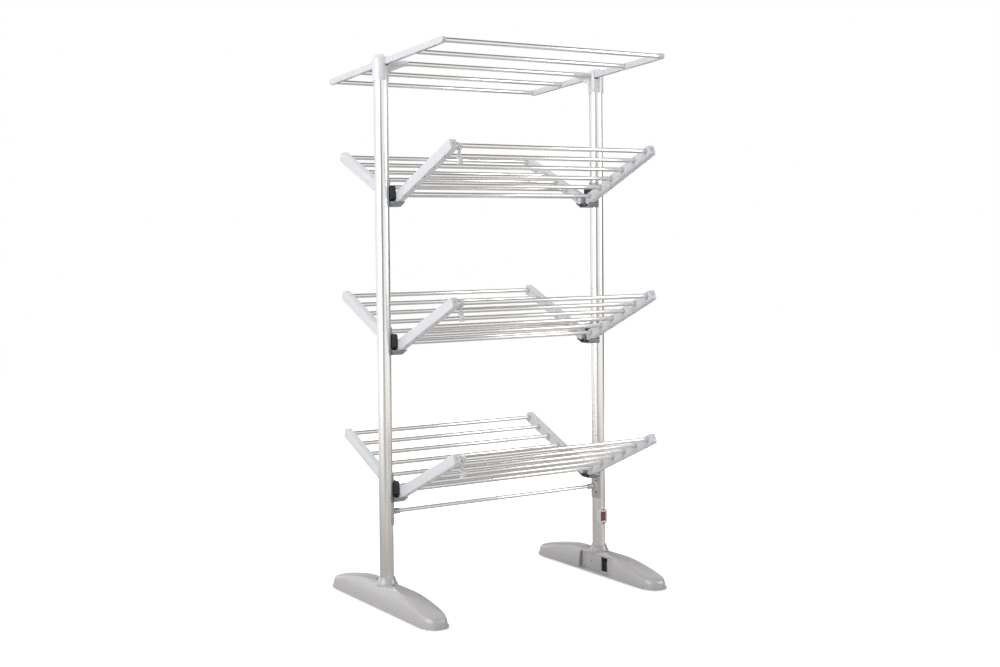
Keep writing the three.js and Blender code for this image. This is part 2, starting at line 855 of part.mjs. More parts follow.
// Switch body: a frame whose well holds the rocker on two small pins
function switchBodyGeometry() {
  const body = box(
    -switchBodyWidth / 2,
    switchBodyWidth / 2,
    switchFace,
    switchFace + switchBodyDepth,
    switchHeight - switchBodyHeight / 2,
    switchHeight + switchBodyHeight / 2,
  );
  const well = box(
    -rockerWidth / 2 - turnGap,
    rockerWidth / 2 + turnGap,
    switchFace - cutOver,
    switchFace + rockerWell,
    switchHeight - rockerHeight / 2 - turnGap * 2,
    switchHeight + rockerHeight / 2 + turnGap * 2,
  );
  const reach = rockerWidth / 2 + rockerPinLength + turnGap;
  const bore = boreAlongX(rockerPinRadius + turnGap, -reach, reach, rockerAxisY, switchHeight);
  return cut(body, well, bore);
}

// Rocker, drawn about its own pins: a dished face that stands proud at one end
function rockerGeometry() {
  const half = rockerHeight / 2;
  const face = -rockerAxisDepth - rockerDish;
  const shape = outline([
    [face, half],
    [face + rockerDish, 0],
    [face, -half],
    [0, -half],
    [rockerDepth - rockerAxisDepth, -half / 2],
    [rockerDepth - rockerAxisDepth, half / 2],
    [0, half],
  ]);
  const body = sideways(shape, -rockerWidth / 2, rockerWidth / 2);
  const reach = rockerWidth / 2 + rockerPinLength;
  return join(body, barAlongX(rockerPinRadius, -reach, reach, 0, 0));
}

// Wiring that runs up inside the right post, lying against its wall
function loomGeometry() {
  const out = postRadius - postWall - loomRadius - seatGap;
  const end = lowTierHeight + (tierNames.length - 1) * tierPitch + pivotUp;
  return barAlongZ(loomRadius, insideFloor + cutOver, end, 0, out, wiringSides);
}

function terminalBlockGeometry() {
  const z0 = insideFloor;
  const { x, y } = terminalPlace;
  const body = box(
    x - terminalWidth / 2,
    x + terminalWidth / 2,
    y - terminalLength / 2,
    y + terminalLength / 2,
    z0,
    z0 + terminalHeight,
  );
  const top = z0 + terminalHeight;
  const wells = Array.from({ length: terminalPoles }, (_, i) => {
    const place = y + ((i + 1) / (terminalPoles + 1) - 1 / 2) * terminalLength;
    return barAlongZ(terminalWellRadius, top - terminalHeight / 2, top + cutOver, x, place, wiringSides);
  });
  return cut(body, ...wells);
}

function thermalCutoutGeometry() {
  const z0 = insideFloor;
  const { x, y } = cutoutPlace;
  const body = box(
    x - cutoutWidth / 2,
    x + cutoutWidth / 2,
    y - cutoutLength / 2,
    y + cutoutLength / 2,
    z0,
    z0 + cutoutHeight,
  );
  const top = z0 + cutoutHeight + cutoutButtonProud;
  return join(body, barAlongZ(cutoutButtonRadius, z0 + weld, top, x, y));
}

// Clip, drawn about the rod that it hangs on, with its open hook below
function clipGeometry() {
  const ringInner = rodRadius + turnGap;
  const ringOuter = ringInner + clipRingWall;
  const hookInner = rodRadius + clipHookClear;
  const hookOuter = hookInner + clipHookWall;
  const ring = cut(
    barAlongX(ringOuter, 0, clipWidth, 0, 0, bossSides),
    boreAlongX(ringInner, -cutOver, clipWidth + cutOver, 0, 0, bossSides),
  );
  const neck = box(
    0,
    clipWidth,
    -clipNeckWidth / 2,
    clipNeckWidth / 2,
    hookInner + clipHookWall / 2 - clipReach,
    -ringInner - clipRingWall / 2,
  );
  const hookShape = new THREE.Shape();
  hookShape.absarc(0, -clipReach, hookOuter, clipMouth / 2, -clipMouth / 2 + Math.PI * 2, false);
  hookShape.absarc(0, -clipReach, hookInner, -clipMouth / 2 + Math.PI * 2, clipMouth / 2, true);
  return join(ring, neck, sideways(hookShape, 0, clipWidth, 0, 5));
}

// Everything that stands on one post; the right side is the left one mirrored
function buildSide(side) {
  const group = new THREE.Group();
  const isRight = side === "right";
  group.position.x = ((isRight ? 1 : -1) * postSpacing) / 2;
  group.scale.x = isRight ? -1 : 1;
  group.add(
    named(`post_${side}`, postGeometry(isRight), colours.anodised),
    named(`cap_${side}`, capGeometry(), colours.cap),
    named(`foot_cover_${side}`, footCoverGeometry(), colours.foot),
    named(`foot_base_${side}`, footBaseGeometry(), colours.foot),
    named(`foot_bay_panel_${side}`, bayPanelGeometry(), colours.foot),
    named(`crossbar_plate_${side}`, crossbarPlateGeometry(), colours.plate),
  );
  for (const end of ["front", "back"]) {
    const pad = named(`foot_pad_${end}_${side}`, footPadGeometry(), colours.rubber);
    pad.rotation.z = end === "front" ? Math.PI : 0;
    group.add(pad);
  }
  tierNames.forEach((tier, index) => group.add(buildTier(tier, index, side)));
  if (isRight) addSwitchAndWiring(group);
  return group;
}

function buildTier(tier, index, side) {
  const group = new THREE.Group();
  group.position.z = lowTierHeight + index * tierPitch;
  group.add(
    named(`bracket_${tier}_${side}`, bracketGeometry(), colours.bracket),
    named(`pivot_block_${tier}_${side}`, pivotBlockGeometry(), colours.black),
  );
  for (const end of ["front", "back"]) {
    const wing = new THREE.Group();
    const mirror = new THREE.Group();
    mirror.scale.y = end === "front" ? -1 : 1;
    wing.position.set(0, pivotOut, pivotUp);
    wing.rotation.x = wingRestAngle;
    wing.add(
      side === "left"
        ? named(`wing_${tier}_${end}_left_arm`, leftArmGeometry(), colours.arm)
        : named(`wing_${tier}_${end}_rods_right_arm`, rightArmWithRodsGeometry(), colours.arm),
    );
    mirror.add(wing);
    group.add(mirror);
  }
  return group;
}

function addSwitchAndWiring(group) {
  const rocker = named("switch_rocker", rockerGeometry(), colours.rocker);
  rocker.position.set(0, rockerAxisY, switchHeight);
  rocker.rotation.x = rockerTilt;
  group.add(
    rocker,
    named("switch_housing", switchHousingGeometry(), colours.cap),
    named("switch_body", switchBodyGeometry(), colours.black),
    named("wiring_loom", loomGeometry(), colours.loom),
    named("terminal_block", terminalBlockGeometry(), colours.loom),
    named("thermal_cutout", thermalCutoutGeometry(), colours.black),
  );
}

function buildRack() {
  const rack = new THREE.Group();
  rack.position.z = rackAxisHeight;
  rack.rotation.x = -rackTilt;
  for (const side of ["left", "right"]) {
    const arm = named(`rack_arm_${side}`, rackArmGeometry(), colours.arm);
    arm.position.x = ((side === "right" ? 1 : -1) * postSpacing) / 2;
    arm.scale.x = side === "right" ? -1 : 1;
    rack.add(arm);
  }
  const places = { front_outer: -2, front_inner: -1, back_inner: 1, back_outer: 2 };
  for (const [place, step] of Object.entries(places)) {
    const rod = named(`rack_rod_${place}`, rackRodGeometry(), colours.polished);
    rod.position.y = step * rackRodPitch;
    rack.add(rod);
  }
  return rack;
}

// Clips hang straight down from the outermost rods of the front wings, whatever the wings' angle
function buildClips() {
  const group = new THREE.Group();
  const reach = rodReaches[rodsPerWing - 1];
  tierNames.forEach((tier, index) => {
    const clip = named(`clip_${tier}`, clipGeometry(), colours.clip);
    clip.position.set(
      clipStart - postSpacing / 2,
      -pivotOut - reach * Math.cos(wingRestAngle),
      lowTierHeight + index * tierPitch + pivotUp + reach * Math.sin(wingRestAngle),
    );
    group.add(clip);
  });
  return group;
}

function buildAirer() {
  const airer = new THREE.Group();
  const axle = named("rack_centre_rod", rackAxleGeometry(), colours.polished);
  axle.position.z = rackAxisHeight;
  airer.add(
    buildSide("left"),
    buildSide("right"),
    named("crossbar", crossbarGeometry(), colours.polished),
    axle,
    buildRack(),
    buildClips(),
  );
  return airer;
}

export default buildAirer();
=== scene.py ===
import json
import math

import bpy
from mathutils import Matrix, Vector


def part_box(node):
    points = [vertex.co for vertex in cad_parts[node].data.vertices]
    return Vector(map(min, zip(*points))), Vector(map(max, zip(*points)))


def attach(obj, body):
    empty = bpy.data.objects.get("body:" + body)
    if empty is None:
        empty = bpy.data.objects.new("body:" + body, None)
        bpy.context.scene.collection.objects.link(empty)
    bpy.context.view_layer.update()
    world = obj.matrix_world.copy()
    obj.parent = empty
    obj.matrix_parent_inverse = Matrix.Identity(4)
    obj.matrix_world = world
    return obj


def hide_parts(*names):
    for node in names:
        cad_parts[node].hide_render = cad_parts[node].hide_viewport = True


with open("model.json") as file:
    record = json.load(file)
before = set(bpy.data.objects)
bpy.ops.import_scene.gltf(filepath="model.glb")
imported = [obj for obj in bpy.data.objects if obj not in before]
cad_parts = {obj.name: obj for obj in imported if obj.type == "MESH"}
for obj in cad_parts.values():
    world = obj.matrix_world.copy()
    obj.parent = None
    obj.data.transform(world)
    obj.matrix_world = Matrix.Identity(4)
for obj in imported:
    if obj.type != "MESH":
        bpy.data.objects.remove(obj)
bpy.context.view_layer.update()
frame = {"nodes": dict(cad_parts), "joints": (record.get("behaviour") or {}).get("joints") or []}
mm = 0.001
fullTurn = math.tau
quarterTurn = fullTurn / 4

# Places that every piece shares, read from the frame
joints = {joint["name"]: Vector(joint["pos_m"]) for joint in frame["joints"]}
tiers = ["low", "middle", "top"]
tierLift = {tier: (joints[f"wing_{tier}_back_fold"] - joints["wing_low_back_fold"]).z for tier in tiers}
wingPivot = joints["wing_low_back_fold"]
rackAxis = joints["rack_tilt"]
postLow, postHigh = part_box("post_left")
postX = (postLow.x + postHigh.x) / 2
postRadius = (postHigh.y - postLow.y) / 2
seatGap = 0.3 * mm  # between fixed pieces, and round a pin in its bore
overrun = 5 * mm  # how far a cut runs past the face it opens
weld = 0.5 * mm  # how far joined shapes of one piece run into each other
softEdge = 0.5 * mm  # rounding of small edges
boreRadius = postRadius + seatGap
wingAngle = math.radians(23.6)  # above level, at rest
rackAngle = math.radians(4)  # front end up, at rest


# Small tools

def deselectAll():
    if bpy.context.object and bpy.context.object.mode == "EDIT":
        bpy.ops.object.mode_set(mode="OBJECT")
    bpy.ops.object.select_all(action="DESELECT")


def pick(piece):
    deselectAll()
    piece.select_set(True)
    bpy.context.view_layer.objects.active = piece


def openEdit(piece):
    pick(piece)
    bpy.ops.object.mode_set(mode="EDIT")
    bpy.ops.mesh.select_mode(type="VERT")
    bpy.ops.mesh.select_all(action="SELECT")


def closeEdit():
    bpy.ops.mesh.select_all(action="SELECT")
    bpy.ops.mesh.remove_doubles(threshold=0.01 * mm)
    bpy.ops.mesh.normals_make_consistent(inside=False)
    bpy.ops.object.mode_set(mode="OBJECT")


def takeNew(name):
    piece = bpy.context.object
    piece.name = piece.data.name = name
    bpy.ops.object.transform_apply()
    return piece


def addBar(name, radius, start, end, sides=32, ends="NGON"):
    deselectAll()
    axis = Vector(end) - Vector(start)
    bpy.ops.mesh.primitive_cylinder_add(
        vertices=sides,
        radius=radius,
        depth=axis.length,
        end_fill_type=ends,
        location=(Vector(start) + Vector(end)) / 2,
        rotation=axis.to_track_quat("Z", "Y").to_euler(),
    )
    return takeNew(name)


def addBlock(name, low, high):
    deselectAll()
    low, high = Vector(low), Vector(high)
    bpy.ops.mesh.primitive_cube_add(size=1, location=(low + high) / 2, scale=high - low)
    return takeNew(name)


# Points round part of a circle, as pairs
def arc(centreA, centreB, radius, start, end, steps=8):
    turns = [start + (end - start) * i / steps for i in range(steps + 1)]
    return [(centreA + radius * math.cos(t), centreB + radius * math.sin(t)) for t in turns]


def roundedCorners(a0, a1, b0, b1, radius, steps=8):
    left, right, front, back = a0 + radius, a1 - radius, b0 + radius, b1 - radius
    corners = ((right, front), (right, back), (left, back), (left, front))
    pairs = []
    for turn, (a, b) in enumerate(corners, -1):
        pairs += arc(a, b, radius, turn * quarterTurn, (turn + 1) * quarterTurn, steps)
    return pairs


# Line extruded point by point from one vertex; the plane names the two axes that the pairs lie on
def drawLine(name, pairs, plane, depth=0.0):
    points = []
    for a, b in pairs:
        points.append(Vector({"YZ": (depth, a, b), "XZ": (a, depth, b), "XY": (a, b, depth)}[plane]))
    deselectAll()
    bpy.ops.mesh.primitive_plane_add(size=mm, location=points[0])
    piece = takeNew(name)
    openEdit(piece)
    bpy.ops.mesh.merge(type="CENTER")
    for before, after in zip(points, points[1:]):
        bpy.ops.mesh.extrude_vertices_move(TRANSFORM_OT_translate={"value": after - before})
    bpy.ops.mesh.select_all(action="SELECT")
    return piece


# Closed outline, filled and drawn out along the plane's own normal
def drawSolid(name, pairs, plane, start, end):
    piece = drawLine(name, pairs, plane, start)
    bpy.ops.mesh.edge_face_add()
    along = {"YZ": Vector((1, 0, 0)), "XZ": Vector((0, 1, 0)), "XY": Vector((0, 0, 1))}[plane]
    bpy.ops.mesh.extrude_region_move(TRANSFORM_OT_translate={"value": along * (end - start)})
    closeEdit()
    return piece


# Profile of radius and height, spun round a vertical axis
def spinUpright(name, pairs, centre, steps=64):
    drawn = [(centre[0] + radius, height) for radius, height in pairs]
    piece = drawLine(name, drawn, "XZ", centre[1])
    bpy.ops.mesh.spin(steps=steps, angle=fullTurn, center=(centre[0], centre[1], 0), axis=(0, 0, 1))
    closeEdit()
    return piece


def useModifier(piece, kind, **settings):
    pick(piece)
    modifier = piece.modifiers.new(kind.title(), kind)
    for name, value in settings.items():
        setattr(modifier, name, value)
    bpy.ops.object.modifier_apply(modifier=modifier.name)


def combine(piece, operation, tools):
    for tool in tools:
        useModifier(piece, "BOOLEAN", operation=operation, object=tool, solver="EXACT")
        bpy.data.objects.remove(tool)
    return piece


def cutAway(piece, *tools):
    return combine(piece, "DIFFERENCE", tools)


def weldOn(piece, *tools):
    return combine(piece, "UNION", tools)


def roundEdges(piece, width, segments=3, angle=40):
    useModifier(
        piece, "BEVEL", width=width, segments=segments, limit_method="ANGLE", angle_limit=math.radians(angle)
    )
    return piece


def smooth(piece, angle=35):
    pick(piece)
    bpy.ops.object.shade_smooth_by_angle(angle=math.radians(angle))
    return piece


def joinPieces(name, pieces):
    pick(pieces[0])
    for piece in pieces:
        piece.select_set(True)
    bpy.ops.object.join()
    pieces[0].name = pieces[0].data.name = name
    return pieces[0]


def paint(piece, material):
    piece.data.materials.clear()
    piece.data.materials.append(material)
    return piece


# Turns a piece about a line along X and carries it to its place
def turnAboutX(piece, angle, place):
    piece.rotation_euler.x = angle
    piece.location = place
    pick(piece)
    bpy.ops.object.transform_apply()
    return piece


# A copy with its own mesh, mirrored across the middle planes and lifted by a tier
def copyPiece(master, name, flipX=False, flipY=False, move=(0, 0, 0)):
    pick(master)
    bpy.ops.object.duplicate()
    piece = bpy.context.object
    piece.scale = (-1 if flipX else 1, -1 if flipY else 1, 1)
    piece.location = move
    piece.name = piece.data.name = name
    bpy.ops.object.transform_apply()
    if flipX != flipY:
        openEdit(piece)
        bpy.ops.mesh.normals_make_consistent(inside=False)
        bpy.ops.object.mode_set(mode="OBJECT")
    return piece


def fit(piece, body, node):
    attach(piece, body)
    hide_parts(node)


# The left piece and its mirrored twin on the right post, each in the place of its own CAD node
def fitPair(left, node, body="frame"):
    right = copyPiece(left, f"right_{node}", flipX=True)
    left.name = left.data.name = f"left_{node}"
    fit(left, body, f"{node}_left")
    fit(right, body, f"{node}_right")


# The post's bore through a piece, drawn out to be cut away
def postRoom(low, high, sides, x=postX):
    return addBar("postRoom", boreRadius, (x, 0, low), (x, 0, high), sides)


# Materials

def linear(hexColour):
    shares = [int(hexColour[i : i + 2], 16) / 255 for i in (1, 3, 5)]
    return tuple(c / 12.92 if c <= 0.04045 else ((c + 0.055) / 1.055) ** 2.4 for c in shares) + (1,)


def newMaterial(name):
    material = bpy.data.materials.new(name)
    material.use_nodes = True
    tree = material.node_tree
    return material, tree, tree.nodes["Principled BSDF"]


# Adds a node with its settings; a socket given as a value is linked
def addNode(tree, kind, settings=None, sockets=None):
    node = tree.nodes.new(kind)
    for name, value in (settings or {}).items():
        setattr(node, name, value)
    for name, value in (sockets or {}).items():
        if isinstance(value, bpy.types.NodeSocket):
            tree.links.new(value, node.inputs[name])
        else:
            node.inputs[name].default_value = value
    return node


# Pattern of noise at a real size; a stretch above 1 draws it out along that axis
def noiseAt(tree, size, stretch=(1, 1, 1), detail=2.0):
    place = addNode(tree, "ShaderNodeTexCoord")
    scale = tuple(1 / (size * share) for share in stretch)
    mapping = addNode(tree, "ShaderNodeMapping", sockets={"Vector": place.outputs["Object"], "Scale": scale})
    sockets = {"Vector": mapping.outputs["Vector"], "Scale": 1.0, "Detail": detail}
    return addNode(tree, "ShaderNodeTexNoise", sockets=sockets).outputs["Fac"]


# One pattern mixes the two colours, another varies the roughness; relief is pattern, strength and depth
def makeMaterial(name, colours, tint, roughness, skin, relief=None, constants=None):
    material, tree, surface = newMaterial(name)
    tintNoise = noiseAt(tree, *tint)
    skinNoise = tintNoise if skin == tint else noiseAt(tree, *skin)
    light, dark = (linear(colour) for colour in colours)
    colour = addNode(tree, "ShaderNodeMix", {"data_type": "RGBA"}, {"Factor": tintNoise, 6: light, 7: dark})
    tree.links.new(colour.outputs[2], surface.inputs["Base Color"])
    sockets = {"Value": skinNoise, "From Min": 0.3, "From Max": 0.7}
    sockets |= {"To Min": roughness[0], "To Max": roughness[1]}
    gloss = addNode(tree, "ShaderNodeMapRange", sockets=sockets)
    tree.links.new(gloss.outputs["Result"], surface.inputs["Roughness"])
    if relief:
        pattern, strength, depth = relief
        height = skinNoise if pattern == skin else noiseAt(tree, *pattern)
        sockets = {"Height": height, "Strength": strength, "Distance": depth}
        bump = addNode(tree, "ShaderNodeBump", sockets=sockets)
        tree.links.new(bump.outputs["Normal"], surface.inputs["Normal"])
    for socket, value in (constants or {}).items():
        surface.inputs[socket].default_value = value
    return material


# Drawn aluminium: the die leaves fine lines along the tube, which stretch and soften what it mirrors
def drawnAluminium(name, colours, lineWidth, stretch, roughness):
    lines, clouds = (lineWidth, stretch, 3.0), (60 * mm,)
    gloss = (roughness - 0.02, roughness + 0.03)
    return makeMaterial(name, colours, clouds, gloss, lines, (lines, 0.02, 0.02 * mm), {"Metallic": 1.0})


# Injection moulding with a spark-eroded mould: an even fine grain that turns highlights soft
def mouldedPlastic(name, colours, grain, roughness, coat=0.0, relief=0.04):
    skin, flow = (grain, (1, 1, 1), 3.0), (90 * mm, (1, 1, 2.5))
    gloss = (roughness - 0.015, roughness + 0.015)
    constants = {"IOR": 1.53, "Coat Weight": coat, "Coat Roughness": roughness / 2}
    return makeMaterial(name, colours, flow, gloss, skin, (skin, relief, 0.05 * mm), constants)


# Metallic paint on bent sheet: flakes sparkle a little, and the paint lies slightly uneven
def metallicPaint(name, colours, roughness, metallic):
    flakes, unevenness = (0.9 * mm, (1, 1, 1), 1.0), (2.5 * mm,)
    gloss = (roughness - 0.06, roughness + 0.06)
    constants = {"Metallic": metallic, "Coat Weight": 0.3}
    return makeMaterial(name, colours, flakes, gloss, flakes, (unevenness, 0.12, 0.06 * mm), constants)


# EPDM rubber: matt, with the dust and fine pits that the floor leaves
def mouldedRubber(name, colours):
    pits = (1.2 * mm, (1, 1, 1), 4.0)
    return makeMaterial(name, colours, pits, (0.75, 0.95), pits, (pits, 0.4, 0.15 * mm), {"IOR": 1.52})


# Tinted polycarbonate: glossy and deep, darker where it is thick
def tintedPolycarbonate(name, colours):
    depth = (7 * mm,)
    constants = {"IOR": 1.585, "Coat Weight": 0.4}
    constants |= {"Subsurface Weight": 0.25, "Subsurface Radius": (4 * mm, 1 * mm, 1 * mm)}
    return makeMaterial(name, colours, depth, (0.16, 0.24), depth, constants=constants)


# Natural polypropylene: milky, light goes a little way in and comes out softened
def naturalPolypropylene(name, colours):
    milk = (5 * mm,)
    constants = {"IOR": 1.49, "Transmission Weight": 0.2}
    constants |= {"Subsurface Weight": 0.3, "Subsurface Radius": (3 * mm, 3 * mm, 3 * mm)}
    return makeMaterial(name, colours, milk, (0.22, 0.34), milk, constants=constants)


# Plated steel of small screws: clear zinc is a greyish mirror with faint turning marks, black zinc a dark one
# whose darkness also stands as painted shade for the deep shadow in the feet's screw holes
def platedSteel(name, colours):
    marks = (0.6 * mm, (1, 1, 1), 3.0)
    return makeMaterial(name, colours, marks, (0.3, 0.45), marks, constants={"Metallic": 1.0})


# The grain of the plastics is drawn at about 2 mm, coarser than the real one, so that it shows
alongPost, alongRod = (1, 1, 400), (400, 1, 1)
postAluminium = drawnAluminium("anodised_aluminium_drawn", ("#f1f1f1", "#eaeaea"), 1.6 * mm, alongPost, 0.22)
rodAluminium = drawnAluminium("polished_aluminium_drawn", ("#f2f2f2", "#eaeaea"), 1.2 * mm, alongRod, 0.14)
armAbs = mouldedPlastic("pale_abs_moulded", ("#d9dade", "#d5d6da"), 2.0 * mm, 0.36, 0.3, 0.02)
capAbs = mouldedPlastic("white_abs_moulded", ("#e2e2e6", "#dedee2"), 2.0 * mm, 0.26, 0.6, 0.02)
footAbs = mouldedPlastic("warm_grey_abs_moulded", ("#bcbabc", "#b7b5b7"), 2.2 * mm, 0.28, 0.6, 0.02)
blockNylon = mouldedPlastic("black_glass_filled_nylon_moulded", ("#1b1c1e", "#242528"), 0.8 * mm, 0.48)
wireSleeve = mouldedPlastic("cream_pvc_extruded", ("#e6e3dc", "#dcd8d0"), 0.9 * mm, 0.5)
bracketSteel = metallicPaint("blue_grey_metallic_paint_on_steel", ("#a7adb2", "#9aa0a5"), 0.3, 0.7)
plateSteel = metallicPaint("light_grey_paint_on_steel", ("#c4c2c1", "#bab8b7"), 0.36, 0.25)
padRubber = mouldedRubber("epdm_rubber_moulded", ("#26262a", "#34343a"))
rockerRed = tintedPolycarbonate("red_polycarbonate_moulded", ("#8f1d22", "#b5423f"))
clipMilky = naturalPolypropylene("natural_polypropylene_moulded", ("#f4f4f4", "#ebebeb"))
screwSteel = platedSteel("zinc_plated_steel_turned", ("#55504c", "#7d7873"))
# Black plated steel for the feet's screws, dark as painted shade for the deep shadow in their holes
holeShadeBlackSteel = platedSteel("black_plated_steel_painted_hole_shade", ("#1c1c1e", "#2c2c30"))
print("materials ready")


# Screw head with a cross recess, drawn at the origin looking up

screw = {
    "radius": 2.4 * mm,
    "height": 1.0 * mm,
    "edge": 0.6 * mm,
    "slotLength": 2.9 * mm,
    "slotWidth": 0.7 * mm,
    "slotDepth": 0.6 * mm,
}


def makeScrewHead(name, scale=1.0):
    radius = screw["radius"] * scale
    head = addBar(name, radius, (0, 0, -screw["height"]), (0, 0, screw["height"]), sides=20)
    roundEdges(head, screw["edge"], 2)
    half, width = screw["slotLength"] * scale / 2, screw["slotWidth"] * scale / 2
    floor = screw["height"] - screw["slotDepth"]
    across = addBlock("slotAcross", (-half, -width, floor), (half, width, screw["height"] + overrun))
    along = addBlock("slotAlong", (-width, -half, floor), (width, half, screw["height"] + overrun))
    cutAway(head, across, along)
    return smooth(head)


# A screw head set at a place, looking along a direction
def setScrew(name, place, direction, scale=1.0, material=screwSteel):
    head = paint(makeScrewHead(name, scale), material)
    head.rotation_euler = Vector(direction).to_track_quat("Z", "Y").to_euler()
    head.location = place
    pick(head)
    bpy.ops.object.transform_apply()
    return head


# Posts

post = {"sides": 80, "wall": 1.2 * mm}


def makePosts():
    low, high = (postX, 0, postLow.z), (postX, 0, postHigh.z)
    tube = addBar("postMaster", postRadius, low, high, post["sides"], ends="NOTHING")
    useModifier(tube, "SOLIDIFY", thickness=post["wall"], offset=-1)
    smooth(paint(tube, postAluminium))
    right = copyPiece(tube, "right_post", flipX=True)
    bodyLow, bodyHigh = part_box("switch_body")
    gap = Vector((seatGap, seatGap, seatGap))
    cutAway(right, addBlock("switchWindow", bodyLow - gap - Vector((0, overrun, 0)), bodyHigh + gap))
    tube.name = tube.data.name = "left_post"
    fit(tube, "frame", "post_left")
    fit(right, "frame", "post_right")


# Caps with the slot for the rack's arm and the boss for its axle

cap = {
    "radius": 21 * mm,
    "crownRound": 15 * mm,
    "slotHalf": 6.8 * mm,
    "slotUnder": 10 * mm,
    "armCentre": 9 * mm,
    "bossRadius": 8 * mm,
    "bossEnd": 76 * mm,
    "gussetHalf": 3 * mm,
    "gussetEnd": 66 * mm,
    "gussetDrop": 26 * mm,
    "axleRadius": 6.3 * mm,
    "axleStart": 6.55 * mm,
    "edge": 0.9 * mm,
}


def makeCaps():
    low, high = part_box("cap_left")
    roof = postHigh.z + seatGap
    axis, bend = rackAxis.z, cap["crownRound"]
    crown = arc(cap["radius"] - bend, high.z - bend, bend, 0, quarterTurn, 10)
    inner = [(0, roof), (boreRadius, roof), (boreRadius, low.z)]
    profile = [*inner, (cap["radius"], low.z), *crown, (0, high.z)]
    dome = spinUpright("capMaster", profile, (postX, 0))
    boss = addBar("boss", cap["bossRadius"], (postX, 0, axis), (postX + cap["bossEnd"], 0, axis), 40)
    gussetPairs = [
        (postX, axis - cap["gussetDrop"]),
        (postX + cap["radius"], axis - cap["gussetDrop"]),
        (postX + cap["gussetEnd"], axis - cap["bossRadius"] + weld),
        (postX + cap["gussetEnd"], axis),
        (postX, axis),
    ]
    gusset = drawSolid("gusset", gussetPairs, "XZ", -cap["gussetHalf"], cap["gussetHalf"])
    weldOn(dome, boss, gusset)
    bore = postRoom(low.z - overrun, roof, 64)
    reach = cap["radius"] + overrun
    centre = postX + cap["armCentre"]
    slotLow = (centre - cap["slotHalf"], -reach, axis - cap["slotUnder"])
    slot = addBlock("slot", slotLow, (centre + cap["slotHalf"], reach, high.z + overrun))
    start, end = (postX - cap["axleStart"], 0, axis), (postX + cap["bossEnd"] + overrun, 0, axis)
    cutAway(dome, bore, slot, addBar("axleBore", cap["axleRadius"], start, end, 40))
    roundEdges(dome, cap["edge"], 2, 50)
    fitPair(smooth(paint(dome, capAbs)), "cap")


# Top rack: channel arms with zigzag ribs below, four rods and the axle that it rocks on

rack = {
    "armCentre": 9 * mm,
    "armWidth": 12.5 * mm,
    "armHeight": 16 * mm,
    "halfLength": 306 * mm,
    "edge": 1.6 * mm,
    "wall": 2 * mm,
    "roof": 2.6 * mm,
    "rodPitch": 148 * mm,
    "rodRadius": 6 * mm,
    "bossHalf": 12 * mm,
    "cells": 5,
    "openShare": 0.84,
    "socket": 8 * mm,
}
# Places of the rack's rods, in pitches from its axle
rackSteps = {"front_outer": -2, "front_inner": -1, "back_inner": 1, "back_outer": 2}


def rackPocket(name, base, apex, low, step):
    middle = Vector(((base * 2 + apex) / 3, low + step))
    corners = [Vector((base, low)), Vector((base, low + step * 2)), Vector((apex, low + step))]
    pairs = [tuple(middle.lerp(corner, rack["openShare"])) for corner in corners]
    half = rack["armHeight"] / 2
    return drawSolid(name, pairs, "XY", -half - overrun, half - rack["roof"])


def makeRackArms():
    centre = postX + rack["armCentre"]
    outer, inner = centre - rack["armWidth"] / 2, centre + rack["armWidth"] / 2
    half = rack["armHeight"] / 2
    far = rack["halfLength"] - half
    pairs = arc(far, 0, half, -quarterTurn, quarterTurn, 16)
    pairs += arc(-far, 0, half, quarterTurn, 3 * quarterTurn, 16)
    arm = drawSolid("rackArmMaster", pairs, "YZ", outer, inner)
    roundEdges(arm, rack["edge"], 3)
    pockets = []
    for bay in (-2, -1, 0, 1):
        start = bay * rack["rodPitch"] + rack["bossHalf"]
        step = (rack["rodPitch"] - 2 * rack["bossHalf"]) / (rack["cells"] + 1)
        for cell in range(rack["cells"]):
            walls = [inner - rack["wall"], outer + rack["wall"]]
            base, apex = walls if cell % 2 == 0 else walls[::-1]
            pockets.append(rackPocket("pocket", base, apex, start + cell * step, step))
    radius = rack["rodRadius"] + seatGap
    bores = [addBar("axleBore", radius, (outer - overrun, 0, 0), (inner + overrun, 0, 0), 40)]
    for step in rackSteps.values():
        y = step * rack["rodPitch"]
        bores.append(addBar("rodSocket", radius, (inner - rack["socket"], y, 0), (inner + overrun, y, 0), 40))
    cutAway(arm, joinPieces("pockets", pockets), joinPieces("bores", bores))
    smooth(paint(arm, armAbs))
    turnAboutX(arm, -rackAngle, (0, 0, rackAxis.z))
    fitPair(arm, "rack_arm", "rack")


# A rod along X with its ends chamfered, in place between two points of X
def makeRod(name, radius, reach, y, z):
    rod = addBar(name, radius, (-reach, y, z), (reach, y, z), 36)
    roundEdges(rod, softEdge, 2)
    return smooth(paint(rod, rodAluminium))


def makeRackRods():
    for place, step in rackSteps.items():
        node = f"rack_rod_{place}"
        rod = makeRod(f"rack_{place}_rod", rack["rodRadius"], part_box(node)[1].x, step * rack["rodPitch"], 0)
        turnAboutX(rod, -rackAngle, (0, 0, rackAxis.z))
        fit(rod, "rack", node)
    axle = makeRod("rack_axle_rod", rack["rodRadius"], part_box("rack_centre_rod")[1].x, 0, rackAxis.z)
    fit(axle, "frame", "rack_centre_rod")


# Wings: an arm at each end of six heated rods, drawn level about the pivot and then tilted

